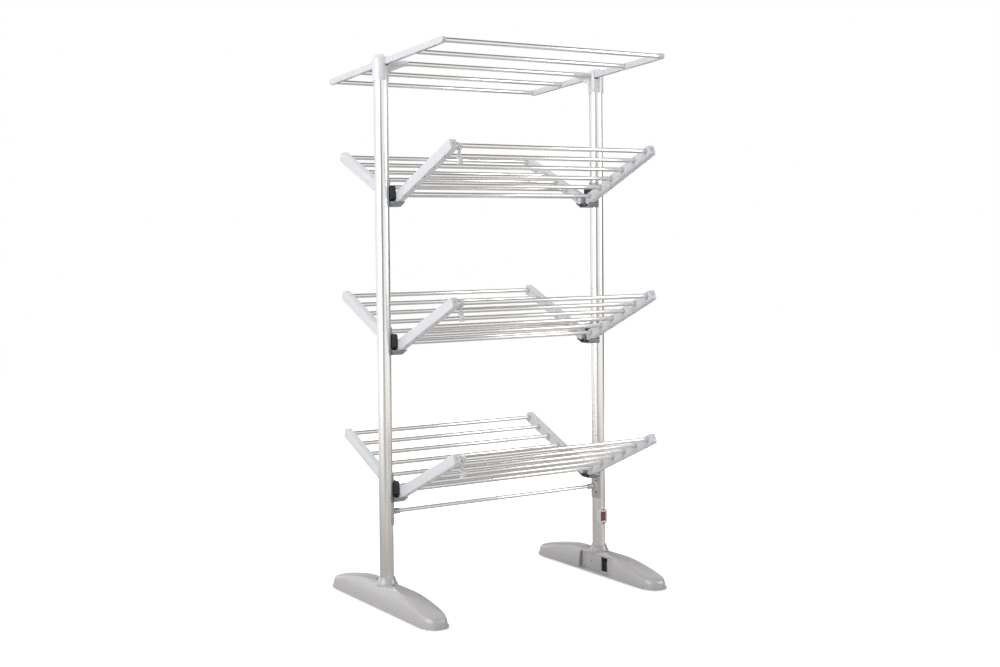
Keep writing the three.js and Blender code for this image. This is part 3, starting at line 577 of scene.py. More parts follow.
wing = {
    "outerFace": 28 * mm,
    "innerFace": 47 * mm,
    "above": 10.5 * mm,
    "below": 16.5 * mm,
    "firstRod": 13.2 * mm,
    "rodPitch": 54.2 * mm,
    "rods": 6,
    "rodRadius": 5.75 * mm,
    "pastRod": 16 * mm,
    "edge": 3.4 * mm,
    "tipRound": 6 * mm,
    "heelInset": 6 * mm,
    "heelChamfer": 5 * mm,
    "pinRadius": 4.3 * mm,
    "pinReach": 14.3 * mm,
    "stripHalf": 5.5 * mm,
    "stripDepth": 1.2 * mm,
    "stripStart": 20 * mm,
    "stripEndMargin": 22 * mm,
    "stripJoint": 0.45 * mm,
    "stripSunk": 0.1 * mm,
    "stripEdge": 0.35 * mm,
    "collarRadius": 7.5 * mm,
    "collarProud": 3 * mm,
    "collarGroove": 0.7 * mm,
    "collarEdge": 0.9 * mm,
    "socket": 8 * mm,
    "dimpleRadius": 3 * mm,
    "dimpleDepth": 1.5 * mm,
    "screwInset": 4.6 * mm,
    "screwScale": 0.8,
}
wing["tip"] = wing["firstRod"] + (wing["rods"] - 1) * wing["rodPitch"] + wing["pastRod"]
rodReaches = [wing["firstRod"] + i * wing["rodPitch"] for i in range(wing["rods"])]


def armPairs():
    slope, rise = math.cos(wingAngle), math.sin(wingAngle)
    heelOut, heelUp = -wing["heelInset"], -math.sqrt(wing["below"] ** 2 - wing["heelInset"] ** 2)
    heelAngle = math.atan2(heelUp * slope - heelOut * rise, heelOut * slope + heelUp * rise)
    heelTop = (wing["above"] * rise - wing["heelInset"]) / slope
    chamfer, bend = wing["heelChamfer"], wing["tipRound"]
    return (
        arc(0, 0, wing["below"], heelAngle, -quarterTurn, 6)
        + arc(wing["tip"] - bend, bend - wing["below"], bend, -quarterTurn, 0, 6)
        + arc(wing["tip"] - bend, wing["above"] - bend, bend, 0, quarterTurn, 6)
        + [(heelTop + chamfer, wing["above"]), (heelTop - chamfer * rise, wing["above"] - chamfer * slope)]
    )


def makeArmMaster():
    outer, inner = postX + wing["outerFace"], postX + wing["innerFace"]
    middle = (outer + inner) / 2
    arm = drawSolid("armMaster", armPairs(), "YZ", outer, inner)
    roundEdges(arm, wing["edge"], 4, 45)
    radius, groove = wing["collarRadius"], wing["collarGroove"]
    ringEnd = inner + wing["collarProud"]
    collars, bores = [], []
    for y in rodReaches:
        cutAway(arm, addBar("groove", radius + groove, (inner - groove, y, 0), (inner + overrun, y, 0), 40))
        collar = addBar("collar", radius, (inner - 2 * groove, y, 0), (ringEnd, y, 0), 40)
        collars.append(roundEdges(collar, wing["collarEdge"], 3))
        start, end = (inner - wing["socket"], y, 0), (ringEnd + overrun, y, 0)
        bores.append(addBar("bore", wing["rodRadius"] + seatGap, start, end, 40))
    weldOn(arm, joinPieces("collars", collars))
    pinEnd = outer + wing["pinReach"]
    pinBore = addBar("pinBore", wing["pinRadius"], (outer - overrun, 0, 0), (pinEnd, 0, 0), 32)
    halfStrip, joint = wing["stripHalf"], wing["stripJoint"]
    stripStart, stripEnd = wing["stripStart"], wing["tip"] - wing["stripEndMargin"]
    under, stripTop = -wing["below"], wing["stripDepth"] - wing["below"]
    roomEnd = (middle + halfStrip, stripEnd, stripTop)
    stripRoom = addBlock("stripRoom", (middle - halfStrip, stripStart, under - overrun), roomEnd)
    tipMiddle = (wing["above"] - wing["below"]) / 2
    start = (middle, wing["tip"] - wing["dimpleDepth"], tipMiddle)
    end = (middle, wing["tip"] + overrun, tipMiddle)
    dimple = addBar("dimple", wing["dimpleRadius"], start, end, 28)
    cutAway(arm, joinPieces("bores", bores), pinBore, stripRoom, dimple)
    smooth(paint(arm, armAbs))
    start = (middle - halfStrip + joint, stripStart + joint, under + wing["stripSunk"])
    strip = addBlock("strip", start, (middle + halfStrip - joint, stripEnd - joint, stripTop))
    roundEdges(strip, wing["stripEdge"], 2)
    smooth(paint(strip, armAbs))
    parts = [arm, strip]
    for first, second in zip(rodReaches, rodReaches[1:]):
        place = (outer + wing["screwInset"], (first + second) / 2, under)
        parts.append(setScrew("armScrew", place, (0, 0, -1), wing["screwScale"]))
    return turnAboutX(joinPieces("armMaster", parts), wingAngle, wingPivot)


def makeRodMaster():
    reach = -(postX + wing["innerFace"] - wing["socket"] + seatGap)
    rods = [makeRod("rod", wing["rodRadius"], reach, y, 0) for y in rodReaches]
    return turnAboutX(joinPieces("rodMaster", rods), wingAngle, wingPivot)


def makeWings():
    arm, rods = makeArmMaster(), makeRodMaster()
    for tier in tiers:
        lift = (0, 0, tierLift[tier])
        for end in ("front", "back"):
            body, front = f"wing_{tier}_{end}", end == "front"
            leftArm = copyPiece(arm, f"{tier}_{end}_arm_left", flipY=front, move=lift)
            fit(leftArm, body, f"{body}_left_arm")
            rightArm = copyPiece(arm, f"{tier}_{end}_arm_right", flipX=True, flipY=front, move=lift)
            fit(rightArm, body, f"{body}_rods_right_arm")
            heated = copyPiece(rods, f"{tier}_{end}_heated_rods", flipY=front, move=lift)
            fit(heated, body, f"{body}_rods_right_arm")
        print("wings of the", tier, "tier in place")
    bpy.data.objects.remove(arm)
    bpy.data.objects.remove(rods)


# Tier brackets: a saddle on the post and a trough with flared flanges, in one bent sheet

bracket = {
    "sheet": 2.2 * mm,
    "saddleAngle": math.radians(70),
    "saddleHeight": 70 * mm,
    "troughStart": 15 * mm,
    "floorEnd": 44 * mm,
    "flangeEnd": 49 * mm,
    "floorHalf": 15.7 * mm,
    "flangeTip": 31 * mm,
    "cheekStart": 12.6 * mm,
    "cheekEnd": 15.4 * mm,
    "cheekInside": 14.8 * mm,
    "cheekLift": 0.2 * mm,
    "edge": 0.55 * mm,
}


def saddlePairs(outer, angle):
    return arc(postX, 0, outer, -angle, angle, 24) + arc(postX, 0, boreRadius, angle, -angle, 24)


def makeBracketMaster():
    low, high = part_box("bracket_low_left")
    sheet, flangeTip, floor = bracket["sheet"], bracket["flangeTip"], low.z
    pairs = saddlePairs(boreRadius + sheet, bracket["saddleAngle"])
    saddle = drawSolid("bracketMaster", pairs, "XY", floor, floor + bracket["saddleHeight"])
    armDrop = wing["below"] / math.cos(wingAngle) + seatGap
    tipUp = wingPivot.z - floor - armDrop + (flangeTip - wingPivot.y) * math.tan(wingAngle)
    along = Vector((flangeTip - bracket["floorHalf"], tipUp - sheet)).normalized()
    under = Vector((flangeTip, tipUp)) + Vector((along.y, -along.x)) * sheet
    heel = (under - along * (under.y / along.y)).x
    half = [(heel, 0), tuple(under), (flangeTip, tipUp), (bracket["floorHalf"], sheet)]
    pairs = [(y, floor + z) for y, z in half + [(-y, z) for y, z in reversed(half)]]
    trough = drawSolid("trough", pairs, "YZ", postX + bracket["troughStart"], postX + bracket["flangeEnd"])
    slope = (bracket["flangeEnd"] - bracket["floorEnd"]) / tipUp
    openEdit(trough)
    start = (postX + bracket["floorEnd"], 0, floor)
    bpy.ops.mesh.bisect(plane_co=start, plane_no=(1, 0, -slope), use_fill=True, clear_outer=True)
    closeEdit()
    inside, lift = bracket["cheekInside"], bracket["cheekLift"]
    cheeks = []
    for side in (-1, 1):
        half = [(inside, lift), (heel, lift), (flangeTip, tipUp), (inside, tipUp)]
        pairs = [(side * y, floor + z) for y, z in half]
        near, far = postX + bracket["cheekStart"], postX + bracket["cheekEnd"]
        cheeks.append(drawSolid("cheek", pairs, "YZ", near, far))
    weldOn(saddle, trough, *cheeks)
    cutAway(saddle, postRoom(floor - overrun, high.z + overrun, 80))
    roundEdges(saddle, bracket["edge"], 2, 30)
    return smooth(paint(saddle, bracketSteel))


# Pivot block: moulded round the saddle, with the two pins that the arms turn on

block = {
    "bottom": 17 * mm,
    "top": 53 * mm,
    "halfWidth": 22.5 * mm,
    "back": 12 * mm,
    "round": 6 * mm,
    "footHalf": 14 * mm,
    "liner": 3 * mm,
    "linerEnd": 43.5 * mm,
    "pinRadius": 4 * mm,
    "pinReach": 14 * mm,
    "footOverlap": 2 * mm,
    "edge": 1.2 * mm,
    "pinEdge": 0.6 * mm,
}


def makeBlockMaster():
    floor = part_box("bracket_low_left")[0].z
    back, front = postX + block["back"], postX + wing["outerFace"] - seatGap
    bottom, top, wide = floor + block["bottom"], floor + block["top"], block["halfWidth"]
    pairs = roundedCorners(-wide, wide, bottom, top, block["round"])
    body = drawSolid("blockMaster", pairs, "YZ", back, front)
    roundEdges(body, block["edge"], 3)
    sheetTop, half = floor + bracket["sheet"] + seatGap, block["footHalf"]
    weldOn(body, addBlock("blockFoot", (back, -half, sheetTop), (front, half, bottom + block["footOverlap"])))
    seat = boreRadius + bracket["sheet"] + seatGap
    cutAway(body, addBar("seat", seat, (postX, 0, floor - overrun), (postX, 0, top + overrun), 80))
    # A layer of the block's black nylon on the trough's floor, darker than the bent sheet, reaching out to
    # near the flange's end
    linerEnd = (postX + block["linerEnd"], half, sheetTop + block["liner"])
    weldOn(body, addBlock("liner", (front - weld, -half, sheetTop), linerEnd))
    for y in (-wingPivot.y, wingPivot.y):
        pinEnd = (postX + wing["outerFace"] + block["pinReach"], y, wingPivot.z)
        pin = addBar("pin", block["pinRadius"], (front - weld, y, wingPivot.z), pinEnd, 32)
        weldOn(body, roundEdges(pin, block["pinEdge"], 2))
    return smooth(paint(body, blockNylon))


def makeBrackets():
    sheetMetal, moulding = makeBracketMaster(), makeBlockMaster()
    for tier in tiers:
        for side in ("left", "right"):
            lift, flip = (0, 0, tierLift[tier]), side == "right"
            bent = copyPiece(sheetMetal, f"{tier}_bracket_{side}", flipX=flip, move=lift)
            fit(bent, "frame", f"bracket_{tier}_{side}")
            black = copyPiece(moulding, f"{tier}_pivot_block_{side}", flipX=flip, move=lift)
            fit(black, "frame", f"pivot_block_{tier}_{side}")
    bpy.data.objects.remove(sheetMetal)
    bpy.data.objects.remove(moulding)


# Lower crossbar between two saddle plates

crossbar = {
    "radius": 5 * mm,
    "sheet": 1.8 * mm,
    "bossRadius": 7.5 * mm,
    "bossEnd": 38 * mm,
    "chamfer": 2 * mm,
    "socket": 12 * mm,
    "screwSpacing": 32 * mm,
    "screwTurn": math.radians(35),
}


def makeCrossbar():
    low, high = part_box("crossbar_plate_left")
    barLow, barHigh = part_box("crossbar")
    height = (barLow.z + barHigh.z) / 2
    outer, bossEnd = boreRadius + crossbar["sheet"], postX + crossbar["bossEnd"]
    plate = drawSolid("plateMaster", saddlePairs(outer, bracket["saddleAngle"]), "XY", low.z, high.z)
    boss = addBar("boss", crossbar["bossRadius"], (postX + boreRadius, 0, height), (bossEnd, 0, height), 40)
    weldOn(plate, roundEdges(boss, crossbar["chamfer"], 3))
    start, end = (bossEnd - crossbar["socket"], 0, height), (bossEnd + overrun, 0, height)
    socket = addBar("socket", crossbar["radius"] + seatGap, start, end, 40)
    cutAway(plate, postRoom(low.z - overrun, high.z + overrun, 80), socket)
    roundEdges(plate, softEdge, 2, 45)
    smooth(paint(plate, plateSteel))
    direction = Vector((math.cos(crossbar["screwTurn"]), -math.sin(crossbar["screwTurn"]), 0))
    screws = [
        setScrew("plateScrew", Vector((postX, 0, height + up)) + direction * outer, direction)
        for up in (-crossbar["screwSpacing"] / 2, crossbar["screwSpacing"] / 2)
    ]
    fitPair(joinPieces("plateMaster", [plate, *screws]), "crossbar_plate")
    bar = makeRod("lower_crossbar", crossbar["radius"], barHigh.x, 0, height)
    fit(bar, "frame", "crossbar")


# Feet: a long moulded cover on a base plate with rubber pads

foot = {
    "halfLength": 276 * mm,
    "halfWidth": 36 * mm,
    "height": 60 * mm,
    "wall": 2.6 * mm,
    # outlines from above at rising heights, as shares of height, half length and half width
    "layers": [
        (0, 1, 1),
        (0.2, 0.996, 0.985),
        (0.37, 0.984, 0.96),
        (0.5, 0.95, 0.93),
        (0.62, 0.862, 0.895),
        (0.72, 0.754, 0.86),
        (0.82, 0.634, 0.8),
        (0.9, 0.525, 0.7),
        (0.96, 0.406, 0.54),
        (1, 0.225, 0.25),
    ],
    "layerSteps": 4,
    "cornerWideShare": 0.82,
    "cornerLongShare": 0.2,
    "cornerSteps": 12,
    "collarBase": 26 * mm,
    "collarTop": 20 * mm,
    "collarHeight": 16 * mm,
    # the collar's outline: how far past its base or top radius, and past the foot's or collar's top
    "collarFoot": [(2 * mm, -6 * mm), (1.5 * mm, -1.4 * mm), (0, 0.6 * mm), (-1.4 * mm, 3 * mm)],
    "collarLip": [(0.4 * mm, -0.8 * mm), (-0.5 * mm, 0)],
    "screwHole": 5.2 * mm,
    "screwPlaces": (-36 * mm, 50 * mm),
    "screwDeep": 2.4 * mm,
    "screwScale": 2.1,
    "recessFace": 25 * mm,
    "recessFront": -99 * mm,
    "recessBack": 49 * mm,
    "recessTop": 54 * mm,
    "recessBend": 3.5 * mm,
    "bayFront": -72 * mm,
    "bayBottom": 11 * mm,
    "bayTop": 50 * mm,
    "seamHeight": 26 * mm,
    "seamWidth": 0.7 * mm,
}


# Shares of the foot's outlines on a smooth curve through the listed ones
def footShares():
    points = [Vector(layer) for layer in foot["layers"]]
    line = [points[0]]
    for i in range(1, len(points)):
        before, start, end = points[max(i - 2, 0)], points[i - 1], points[i]
        after = points[min(i + 1, len(points) - 1)]
        for step in range(1, foot["layerSteps"] + 1):
            t = step / foot["layerSteps"]
            bend = (end - before) * 0.5 * t + (2 * before - 5 * start + 4 * end - after) * 0.5 * t * t
            line.append(start + bend + (3 * start - before - 3 * end + after) * 0.5 * t**3)
    return line


# Outline of a foot from above: a rectangle whose corners are parts of an ellipse
def footOutline(halfWidth, halfLength):
    wide, long = foot["cornerWideShare"], foot["cornerLongShare"]
    turns = [quarterTurn * i / foot["cornerSteps"] for i in range(foot["cornerSteps"] + 1)]
    shares = [(1 - wide + wide * math.cos(turn), 1 - long + long * math.sin(turn)) for turn in turns]
    quarter = [(halfWidth * a, halfLength * b) for a, b in shares]
    half = quarter + [(-a, b) for a, b in reversed(quarter)]
    return [(postX + a, b) for a, b in half + [(a, -b) for a, b in reversed(half)]]


# Cover's domed form: its lowest outline raised layer by layer, resized at each one
def footForm(name, inset, bottom):
    shares = footShares()
    half, reach, height = foot["halfWidth"] - inset, foot["halfLength"] - inset, bottom
    form = drawLine(name, footOutline(half, reach), "XY", bottom)
    bpy.ops.mesh.edge_face_add()
    for up, long, wide in shares[1:]:
        newHeight = up * foot["height"] - inset
        if newHeight <= height:
            continue
        newHalf, newReach = wide * foot["halfWidth"] - inset, long * foot["halfLength"] - inset
        bpy.ops.mesh.extrude_region_move(TRANSFORM_OT_translate={"value": (0, 0, newHeight - height)})
        scale = (newHalf / half, newReach / reach, 1)
        bpy.ops.transform.resize(value=scale, center_override=(postX, 0, newHeight))
        half, reach, height = newHalf, newReach, newHeight
    closeEdit()
    return form


# Room inside the cover, clear of the recess and its walls
def footRoom(bottom):
    wall = foot["wall"]
    room = footForm("room", wall, bottom - overrun)
    start = (postX + foot["recessFace"] - wall, foot["recessFront"] - wall, 0)
    end = (postX + foot["halfWidth"], foot["recessBack"] + wall, foot["height"])
    return cutAway(room, addBlock("recessWalls", start, end))


def footCollar():
    top = foot["height"] + foot["collarHeight"]
    profile = [(foot["collarBase"] + out, foot["height"] + up) for out, up in foot["collarFoot"]]
    profile += [(foot["collarTop"] + out, top + up) for out, up in foot["collarLip"]]
    return spinUpright("collar", [(0, profile[0][1]), *profile, (0, top)], (postX, 0), 72)


def makeFootCovers():
    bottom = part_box("foot_cover_left")[0].z
    cover = footForm("coverMaster", 0, bottom)
    face, side = postX + foot["recessFace"], postX + foot["halfWidth"]
    front, back, bend = foot["recessFront"], foot["recessBack"], foot["recessBend"]
    corners = (
        [(face, front)]
        + arc(side - bend, front - bend, bend, quarterTurn, 0, 6)
        + [(side + overrun, front - bend), (side + overrun, back + bend)]
        + arc(side - bend, back + bend, bend, 0, -quarterTurn, 6)
        + [(face, back)]
    )
    cutAway(cover, drawSolid("recess", corners, "XY", bottom - overrun, foot["recessTop"]))
    weldOn(cover, footCollar())
    top = foot["height"] + foot["collarHeight"]
    start = (face - foot["wall"] - overrun, foot["bayFront"], foot["bayBottom"])
    bay = addBlock("bay", start, (face + overrun, foot["recessBack"], foot["bayTop"]))
    places = [Vector((postX, y, foot["height"])) for y in foot["screwPlaces"]]
    holes = [addBar("screwHole", foot["screwHole"], (*at.xy, at.z / 2), (*at.xy, top), 28) for at in places]
    outside, joint = postX - foot["halfWidth"], foot["seamWidth"]
    seamEnd = (outside + 2 * joint, joint / 2, bottom + foot["seamHeight"])
    seam = addBlock("seam", (outside - overrun, -joint / 2, bottom - overrun), seamEnd)
    cutAway(cover, footRoom(bottom), postRoom(0, top + overrun, 72), bay, *holes, seam)
    smooth(paint(cover, footAbs), 30)
    # Black screw heads just under the top of each hole: painted shade that stands for the deep shadow in the
    # screw holes
    sunk = Vector((0, 0, foot["screwDeep"]))
    scale = foot["screwScale"]
    screws = [setScrew("footScrew", at - sunk, (0, 0, 1), scale, holeShadeBlackSteel) for at in places]
    fitPair(joinPieces("coverMaster", [cover, *screws]), "foot_cover")


base = {
    "rim": 2.4 * mm,
    "thickness": 3 * mm,
    "socketWall": 3.5 * mm,
    "ribHalf": 1.5 * mm,
    "ribReach": 95 * mm,
    "ribHeight": 26 * mm,
}


def makeFootBases():
    low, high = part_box("foot_base_left")
    top, half, reach = low.z + base["thickness"], base["ribHalf"], base["ribReach"]
    outline = footOutline(foot["halfWidth"] + base["rim"], foot["halfLength"] + base["rim"])
    plate = roundEdges(drawSolid("baseMaster", outline, "XY", low.z, top), softEdge, 2)
    socket = addBar("socket", boreRadius + base["socketWall"], (postX, 0, top - weld), (postX, 0, high.z), 64)
    ribEnd = (postX + half, reach, top + base["ribHeight"])
    weldOn(plate, socket, addBlock("rib", (postX - half, -reach, top - weld), ribEnd))
    cutAway(plate, postRoom(top, high.z + overrun, 64))
    fitPair(smooth(paint(plate, footAbs)), "foot_base")


pad = {
    "round": 12 * mm,
    "spread": 7 * mm,
    "thickness": 2.4 * mm,
    "grooves": 5,
    "grooveWidth": 2 * mm,
    "grooveDepth": 0.8 * mm,
}


def makeFootPads():
    low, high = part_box("foot_pad_back_left")
    wide, half = pad["spread"], pad["grooveWidth"] / 2
    outline = roundedCorners(low.x - wide, high.x + wide, low.y - wide, high.y, pad["round"] + wide)
    rubber = roundEdges(drawSolid("padMaster", outline, "XY", 0, pad["thickness"]), softEdge, 2)
    grooves = []
    for i in range(pad["grooves"]):
        y = low.y + (high.y - low.y) / (pad["grooves"] + 1) * (i + 1)
        end = (high.x + wide + overrun, y + half, pad["grooveDepth"])
        grooves.append(addBlock("groove", (low.x - wide - overrun, y - half, -overrun), end))
    cutAway(rubber, joinPieces("grooves", grooves))
    smooth(paint(rubber, padRubber))
    for side in ("left", "right"):
        for end in ("front", "back"):
            piece = copyPiece(rubber, f"{side}_{end}_foot_pad", flipX=side == "right", flipY=end == "front")
            fit(piece, "frame", f"foot_pad_{end}_{side}")
    bpy.data.objects.remove(rubber)


# Panel that closes the bay in the inboard side of each foot

panel = {
    "front": -44 * mm,
    "back": 45.4 * mm,
    "edge": 0.5 * mm,
    "lugEnd": 38 * mm,
    "lugLength": 8 * mm,
    "lugHeight": 3.6 * mm,
    "lugProud": 3 * mm,
    "lugInset": 3.5 * mm,
    "lugEdge": 0.8 * mm,
    "screwHole": 2.4 * mm,
    "sunk": 0.9 * mm,
    "screwScale": 0.7,
}


def makeBayPanels():
    low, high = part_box("foot_bay_panel_left")
    bottom, top, face = foot["bayBottom"] + seatGap, foot["bayTop"] - seatGap, high.x
    plate = addBlock("panelMaster", (low.x, panel["front"], bottom), (face, panel["back"], top))
    roundEdges(plate, panel["edge"], 2)
    middle = Vector((face - panel["sunk"], (panel["front"] + panel["back"]) / 2, (bottom + top) / 2))
    hole = addBar("hole", panel["screwHole"], middle, (face + overrun, *middle.yz), 24)
    start, end, half = panel["lugEnd"] - panel["lugLength"], panel["lugEnd"], panel["lugHeight"] / 2
    upper, lower = top - panel["lugInset"], bottom + panel["lugInset"]
    slot = addBlock("slot", (middle.x, start, upper - half), (face + overrun, end, upper + half))
    cutAway(plate, hole, slot)
    lug = addBlock("lug", (face - weld, start, lower - half), (face + panel["lugProud"], end, lower + half))
    weldOn(plate, roundEdges(lug, panel["lugEdge"], 2))
    smooth(paint(plate, footAbs))
    head = setScrew("panelScrew", middle, (1, 0, 0), panel["screwScale"])
    fitPair(joinPieces("panelMaster", [plate, head]), "foot_bay_panel")


# Switch on the front of the right post

switch = {
    "housingWidth": 28 * mm,
    "endFlat": 0.5 * mm,
    "edge": 1.4 * mm,
    "bodyEdge": 0.6 * mm,
    "rockerHalfWidth": 6 * mm,
    "rockerHalfHeight": 9.5 * mm,
    "rockerWell": 8 * mm,
    "axisDepth": 3 * mm,
    "dish": 1.1 * mm,
    "rockerDepth": 6 * mm,
    "tilt": math.radians(6),
    "screwOut": 19 * mm,
    "screwScale": 0.9,
}


def makeSwitch():
    x, axis = -postX, joints["switch_rocker_tilt"]
    low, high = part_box("switch_housing")
    bodyLow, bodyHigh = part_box("switch_body")
    half = switch["housingWidth"] / 2
    pairs = roundedCorners(x - half, x + half, low.z, high.z, half - switch["endFlat"], 12)
    housing = drawSolid("switchHousing", pairs, "XZ", low.y, -postRadius / 2)
    roundEdges(housing, switch["edge"], 4)
    gap = Vector((seatGap, 0, seatGap))
    reach = Vector((0, overrun, 0))
    window = addBlock("window", bodyLow - gap - reach, bodyHigh + gap)
    cutAway(housing, postRoom(low.z - overrun, high.z + overrun, 80, x), window)
    smooth(paint(housing, capAbs))
    screws = [
        setScrew("housingScrew", (x, low.y, axis.z + up), (0, -1, 0), switch["screwScale"])
        for up in (-switch["screwOut"], switch["screwOut"])
    ]
    fit(joinPieces("switch_bezel", [housing, *screws]), "frame", "switch_housing")
    body = roundEdges(addBlock("switch_frame", bodyLow, bodyHigh), switch["bodyEdge"], 2)
    wellHalf = Vector((switch["rockerHalfWidth"] + seatGap, 0, switch["rockerHalfHeight"] + 2 * seatGap))
    centre = Vector((x, bodyLow.y, axis.z))
    wellEnd = centre + wellHalf + Vector((0, switch["rockerWell"], 0))
    well = addBlock("well", centre - wellHalf - reach, wellEnd)
    cutAway(body, well)
    smooth(paint(body, blockNylon))
    fit(body, "frame", "switch_body")
    makeRocker(axis)


def makeRocker(axis):
    half, face = switch["rockerHalfHeight"], -switch["axisDepth"] - switch["dish"]
    back = switch["rockerDepth"] - switch["axisDepth"]
    shares = [step / 6 for step in range(6, -7, -1)]
    dish = [(face + switch["dish"] * (1 - share**2), half * share) for share in shares]
    pairs = dish + [(0, -half), (back, -half / 2), (back, half / 2), (0, half)]
    wide = switch["rockerHalfWidth"]
    rocker = drawSolid("switch_rocker_key", pairs, "YZ", -wide, wide)
    roundEdges(rocker, softEdge, 2)
    turnAboutX(rocker, switch["tilt"], axis)
    smooth(paint(rocker, rockerRed))
    fit(rocker, "rocker", "switch_rocker")


# Clips on the outermost rod of each front wing

clip = {
    "width": 12 * mm,
    "ringWall": 2 * mm,
    "hookClear": 0.85 * mm,
    "hookWall": 2.4 * mm,
    "neckHalf": 2 * mm,
    "mouth": math.radians(100),
    "ribWidth": 2.5 * mm,
    "waistGap": 2 * mm,
}


def makeClips():
    start = joints["clip_low_swing"]
    x0, x1 = start.x - clip["width"] / 2, start.x + clip["width"] / 2
    ringInner = wing["rodRadius"] + seatGap
    ringOuter = ringInner + clip["ringWall"]
    hookInner = wing["rodRadius"] + clip["hookClear"]
    hookOuter = hookInner + clip["hookWall"]
    opening = clip["mouth"] / 2
    y, z, half = start.y, start.z, clip["neckHalf"]
    ring = addBar("clipMaster", ringOuter, (x0, y, z), (x1, y, z), 40)
    hookZ = z - 2 * wingPivot.y
    hookPairs = arc(y, hookZ, hookOuter, opening, fullTurn - opening, 32)
    hookPairs += arc(y, hookZ, hookInner, fullTurn - opening, opening, 32)
    hook = drawSolid("hook", hookPairs, "YZ", x0, x1)
    neckTop, neckBottom = z - ringInner - clip["ringWall"] / 2, hookZ + hookInner + clip["hookWall"] / 2
    weldOn(ring, addBlock("neck", (x0, y - half, neckBottom), (x1, y + half, neckTop)), hook)
    waistTop, waistBottom = z - ringOuter - clip["waistGap"], hookZ + hookOuter + clip["waistGap"]
    rib, reach = clip["ribWidth"], half + overrun
    waist = [
        addBlock("waist", (left, y - reach, waistBottom), (right, y + reach, waistTop))
        for left, right in ((x0 - overrun, x0 + rib), (x1 - rib, x1 + overrun))
    ]
    cutAway(ring, addBar("bore", ringInner, (x0 - overrun, y, z), (x1 + overrun, y, z), 40), *waist)
    roundEdges(ring, softEdge, 2, 45)
    smooth(paint(ring, clipMilky))
    for tier in tiers:
        piece = copyPiece(ring, f"{tier}_rod_clip", move=(0, 0, tierLift[tier]))
        fit(piece, f"clip_{tier}", f"clip_{tier}")
    bpy.data.objects.remove(ring)


makePosts()
makeCaps()
print("posts and caps in place")
makeRackArms()
makeRackRods()
print("top rack in place")
makeWings()
makeBrackets()
makeCrossbar()
print("brackets and crossbar in place")
makeFootCovers()
makeFootBases()
makeFootPads()
makeBayPanels()
print("feet in place")
makeSwitch()
makeClips()
print("switch and clips in place")

# Pieces inside the foot and post keep their own solids
inside = {"wiring_loom": wireSleeve, "terminal_block": wireSleeve, "thermal_cutout": blockNylon}
for node, material in inside.items():
    paint(frame["nodes"][node], material)


# Studio: white all round, with soft lamps; grey cards that only metal mirrors give the rods their edges

studio = {
    "floorSize": 14.0,
    "floorColour": "#e4e4e4",
    "floorGlow": 0.45,
    "floorGlowReach": 2.4,
    "ambient": 0.12,
    "lamps": {
        "leftLow": ((-2.6, -0.4, 1.3), 1.8, 32),
        "leftHigh": ((-2.4, -0.8, 2.2), 2.6, 24),
        "rightFront": ((2.6, -2.4, 1.8), 1.6, 36),
        "top": ((0, 0, 3.2), 3.0, 46),
        "back": ((0.3, 2.8, 2.2), 2.8, 66),
    },
    "lampsMirrored": ("leftLow", "rightFront"),
    "aim": (0, 0, 0.75),
    # warm tone of what lies round the white; each card's place, size, brightness in the middle and at the rim
    "cardTint": "#fffaf5",
    "cardReach": 0.8,
    "cards": {
        "ceiling": ((0, 0, 3.1), (7.0, 7.0), 0.25, 0.7),
        "floor": ((0, 0, 0.0004), (8.6, 8.6), 0.46, 1.0),
        "gap": ((-2.7, -3.8, 1.0), (3.2, 3.2), 0.1, 1.0),
        "right": ((3.4, 0.2, 0.8), (5.4, 3.2), 0.1, 0.9),
        "behind": ((1.8, 3.3, 1.5), (5.6, 4.0), 0.14, 0.85),
        "gapFloor": ((-1.7, -2.0, 0.0008), (2.6, 2.6), 0.3, 0.72),
        "rightFloor": ((1.7, 0.2, 0.0008), (2.4, 2.4), 0.22, 0.66),
    },
    "levelCards": ("ceiling", "floor", "gapFloor", "rightFloor"),
}


def aimAt(thing, target):
    thing.rotation_euler = (Vector(target) - thing.location).to_track_quat("-Z", "Y").to_euler()


# 1 for rays that come straight from the camera or by way of a mirror or glass, otherwise 0
def seenRays(tree):
    path = addNode(tree, "ShaderNodeLightPath")
    seen = path.outputs["Is Camera Ray"]
    for ray in ("Is Glossy Ray", "Is Transmission Ray"):
        sockets = {0: seen, 1: path.outputs[ray]}
        seen = addNode(tree, "ShaderNodeMath", {"operation": "MAXIMUM"}, sockets).outputs[0]
    return seen


# Falls from 1 in the middle of a plane of this size to 0 at the middles of its sides
def spread(tree, size):
    place = addNode(tree, "ShaderNodeTexCoord")
    scale = (2 / size, 2 / size, 2 / size)
    mapping = addNode(tree, "ShaderNodeMapping", sockets={"Vector": place.outputs["Object"], "Scale": scale})
    sockets = {"Vector": mapping.outputs["Vector"]}
    return addNode(tree, "ShaderNodeTexGradient", {"gradient_type": "SPHERICAL"}, sockets).outputs["Fac"]


# Brightness that changes softly from the rim of a plane to its middle
def glowOf(tree, size, reach, rim, middle):
    soft = {"interpolation_type": "SMOOTHSTEP"}
    sockets = {"Value": spread(tree, size), "From Max": reach, "To Min": rim, "To Max": middle}
    return addNode(tree, "ShaderNodeMapRange", soft, sockets).outputs["Result"]


def makeWorld():
    world = bpy.data.worlds.new("white_studio")
    bpy.context.scene.world = world
    world.use_nodes = True
    tree = world.node_tree
    tree.nodes.clear()
    sockets = {"Value": seenRays(tree), "To Min": studio["ambient"], "To Max": 1.0}
    strength = addNode(tree, "ShaderNodeMapRange", sockets=sockets).outputs["Result"]
    light = addNode(tree, "ShaderNodeBackground", sockets={"Color": (1, 1, 1, 1), "Strength": strength})
    out = addNode(tree, "ShaderNodeOutputWorld")
    tree.links.new(light.outputs["Background"], out.inputs["Surface"])


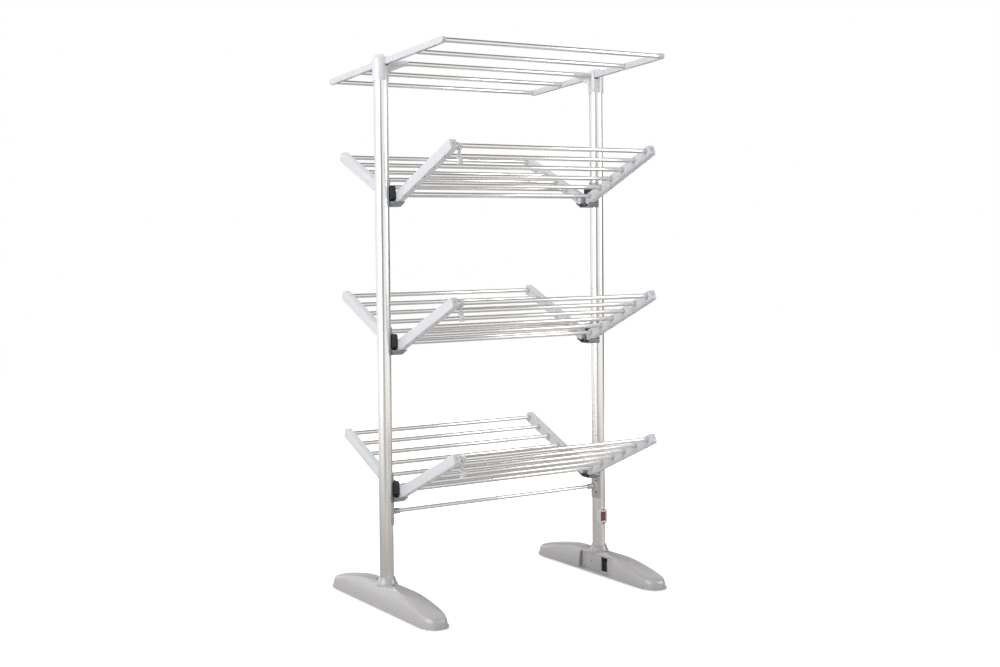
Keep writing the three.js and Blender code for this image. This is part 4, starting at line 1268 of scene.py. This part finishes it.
# White where seen directly or mirrored; elsewhere a plain pale floor that holds the shadow
def makeFloor():
    deselectAll()
    bpy.ops.mesh.primitive_plane_add(size=studio["floorSize"])
    floor = takeNew("studio_floor")
    material, tree, surface = newMaterial("matt_white_paper")
    surface.inputs["Base Color"].default_value = linear(studio["floorColour"])
    surface.inputs["Roughness"].default_value = 0.9
    surface.inputs["Specular IOR Level"].default_value = 0.0
    glow = glowOf(tree, 2 * studio["floorGlowReach"], 1.0, 1.0, studio["floorGlow"])
    strength = addNode(tree, "ShaderNodeMath", {"operation": "MULTIPLY"}, {0: seenRays(tree), 1: glow})
    surface.inputs["Emission Color"].default_value = (1, 1, 1, 1)
    tree.links.new(strength.outputs[0], surface.inputs["Emission Strength"])
    material.cycles.emission_sampling = "NONE"
    paint(floor, material)


def makeCards():
    for name, (place, size, middle, rim) in studio["cards"].items():
        deselectAll()
        bpy.ops.mesh.primitive_plane_add(size=1)
        card = bpy.context.object
        card.name = f"studio_card_{name}"
        card.location = place
        card.scale = (*size, 1)
        if name not in studio["levelCards"]:
            aimAt(card, studio["aim"])
        material, tree, surface = newMaterial(f"grey_card_{name}")
        surface.inputs["Base Color"].default_value = (0, 0, 0, 1)
        surface.inputs["Specular IOR Level"].default_value = 0.0
        surface.inputs["Emission Color"].default_value = linear(studio["cardTint"])
        glow = glowOf(tree, 1.0, studio["cardReach"], rim, middle)
        tree.links.new(glow, surface.inputs["Emission Strength"])
        material.cycles.emission_sampling = "NONE"
        paint(card, material)
        card.visible_camera = False
        card.visible_diffuse = False
        card.visible_shadow = False
        card.visible_transmission = False


def makeLamps():
    for name, (place, size, power) in studio["lamps"].items():
        lamp = bpy.data.lights.new(name, "AREA")
        lamp.size = size
        lamp.energy = power
        holder = bpy.data.objects.new(name, lamp)
        bpy.context.scene.collection.objects.link(holder)
        holder.location = place
        holder.visible_glossy = name in studio["lampsMirrored"]
        aimAt(holder, studio["aim"])


view = {
    "place": (-1.9935, -3.1702, 0.9409),
    "yaw": math.radians(-32.349),
    "pitch": math.radians(87.664),
    "roll": math.radians(-0.551),
    "lens": 50.744,
    "shift": -0.04,
}


def makeCamera():
    data = bpy.data.cameras.new("camera")
    data.lens = view["lens"]
    data.sensor_width = 36
    data.shift_y = view["shift"]
    camera = bpy.data.objects.new("camera", data)
    bpy.context.scene.collection.objects.link(camera)
    camera.location = view["place"]
    turn = Matrix.Rotation(view["yaw"], 3, "Z") @ Matrix.Rotation(view["pitch"], 3, "X")
    camera.rotation_euler = (turn @ Matrix.Rotation(view["roll"], 3, "Z")).to_euler()
    bpy.context.scene.camera = camera


makeWorld()
makeFloor()
makeCards()
makeLamps()
makeCamera()
bpy.context.scene.view_settings.view_transform = "Standard"
print("studio ready")
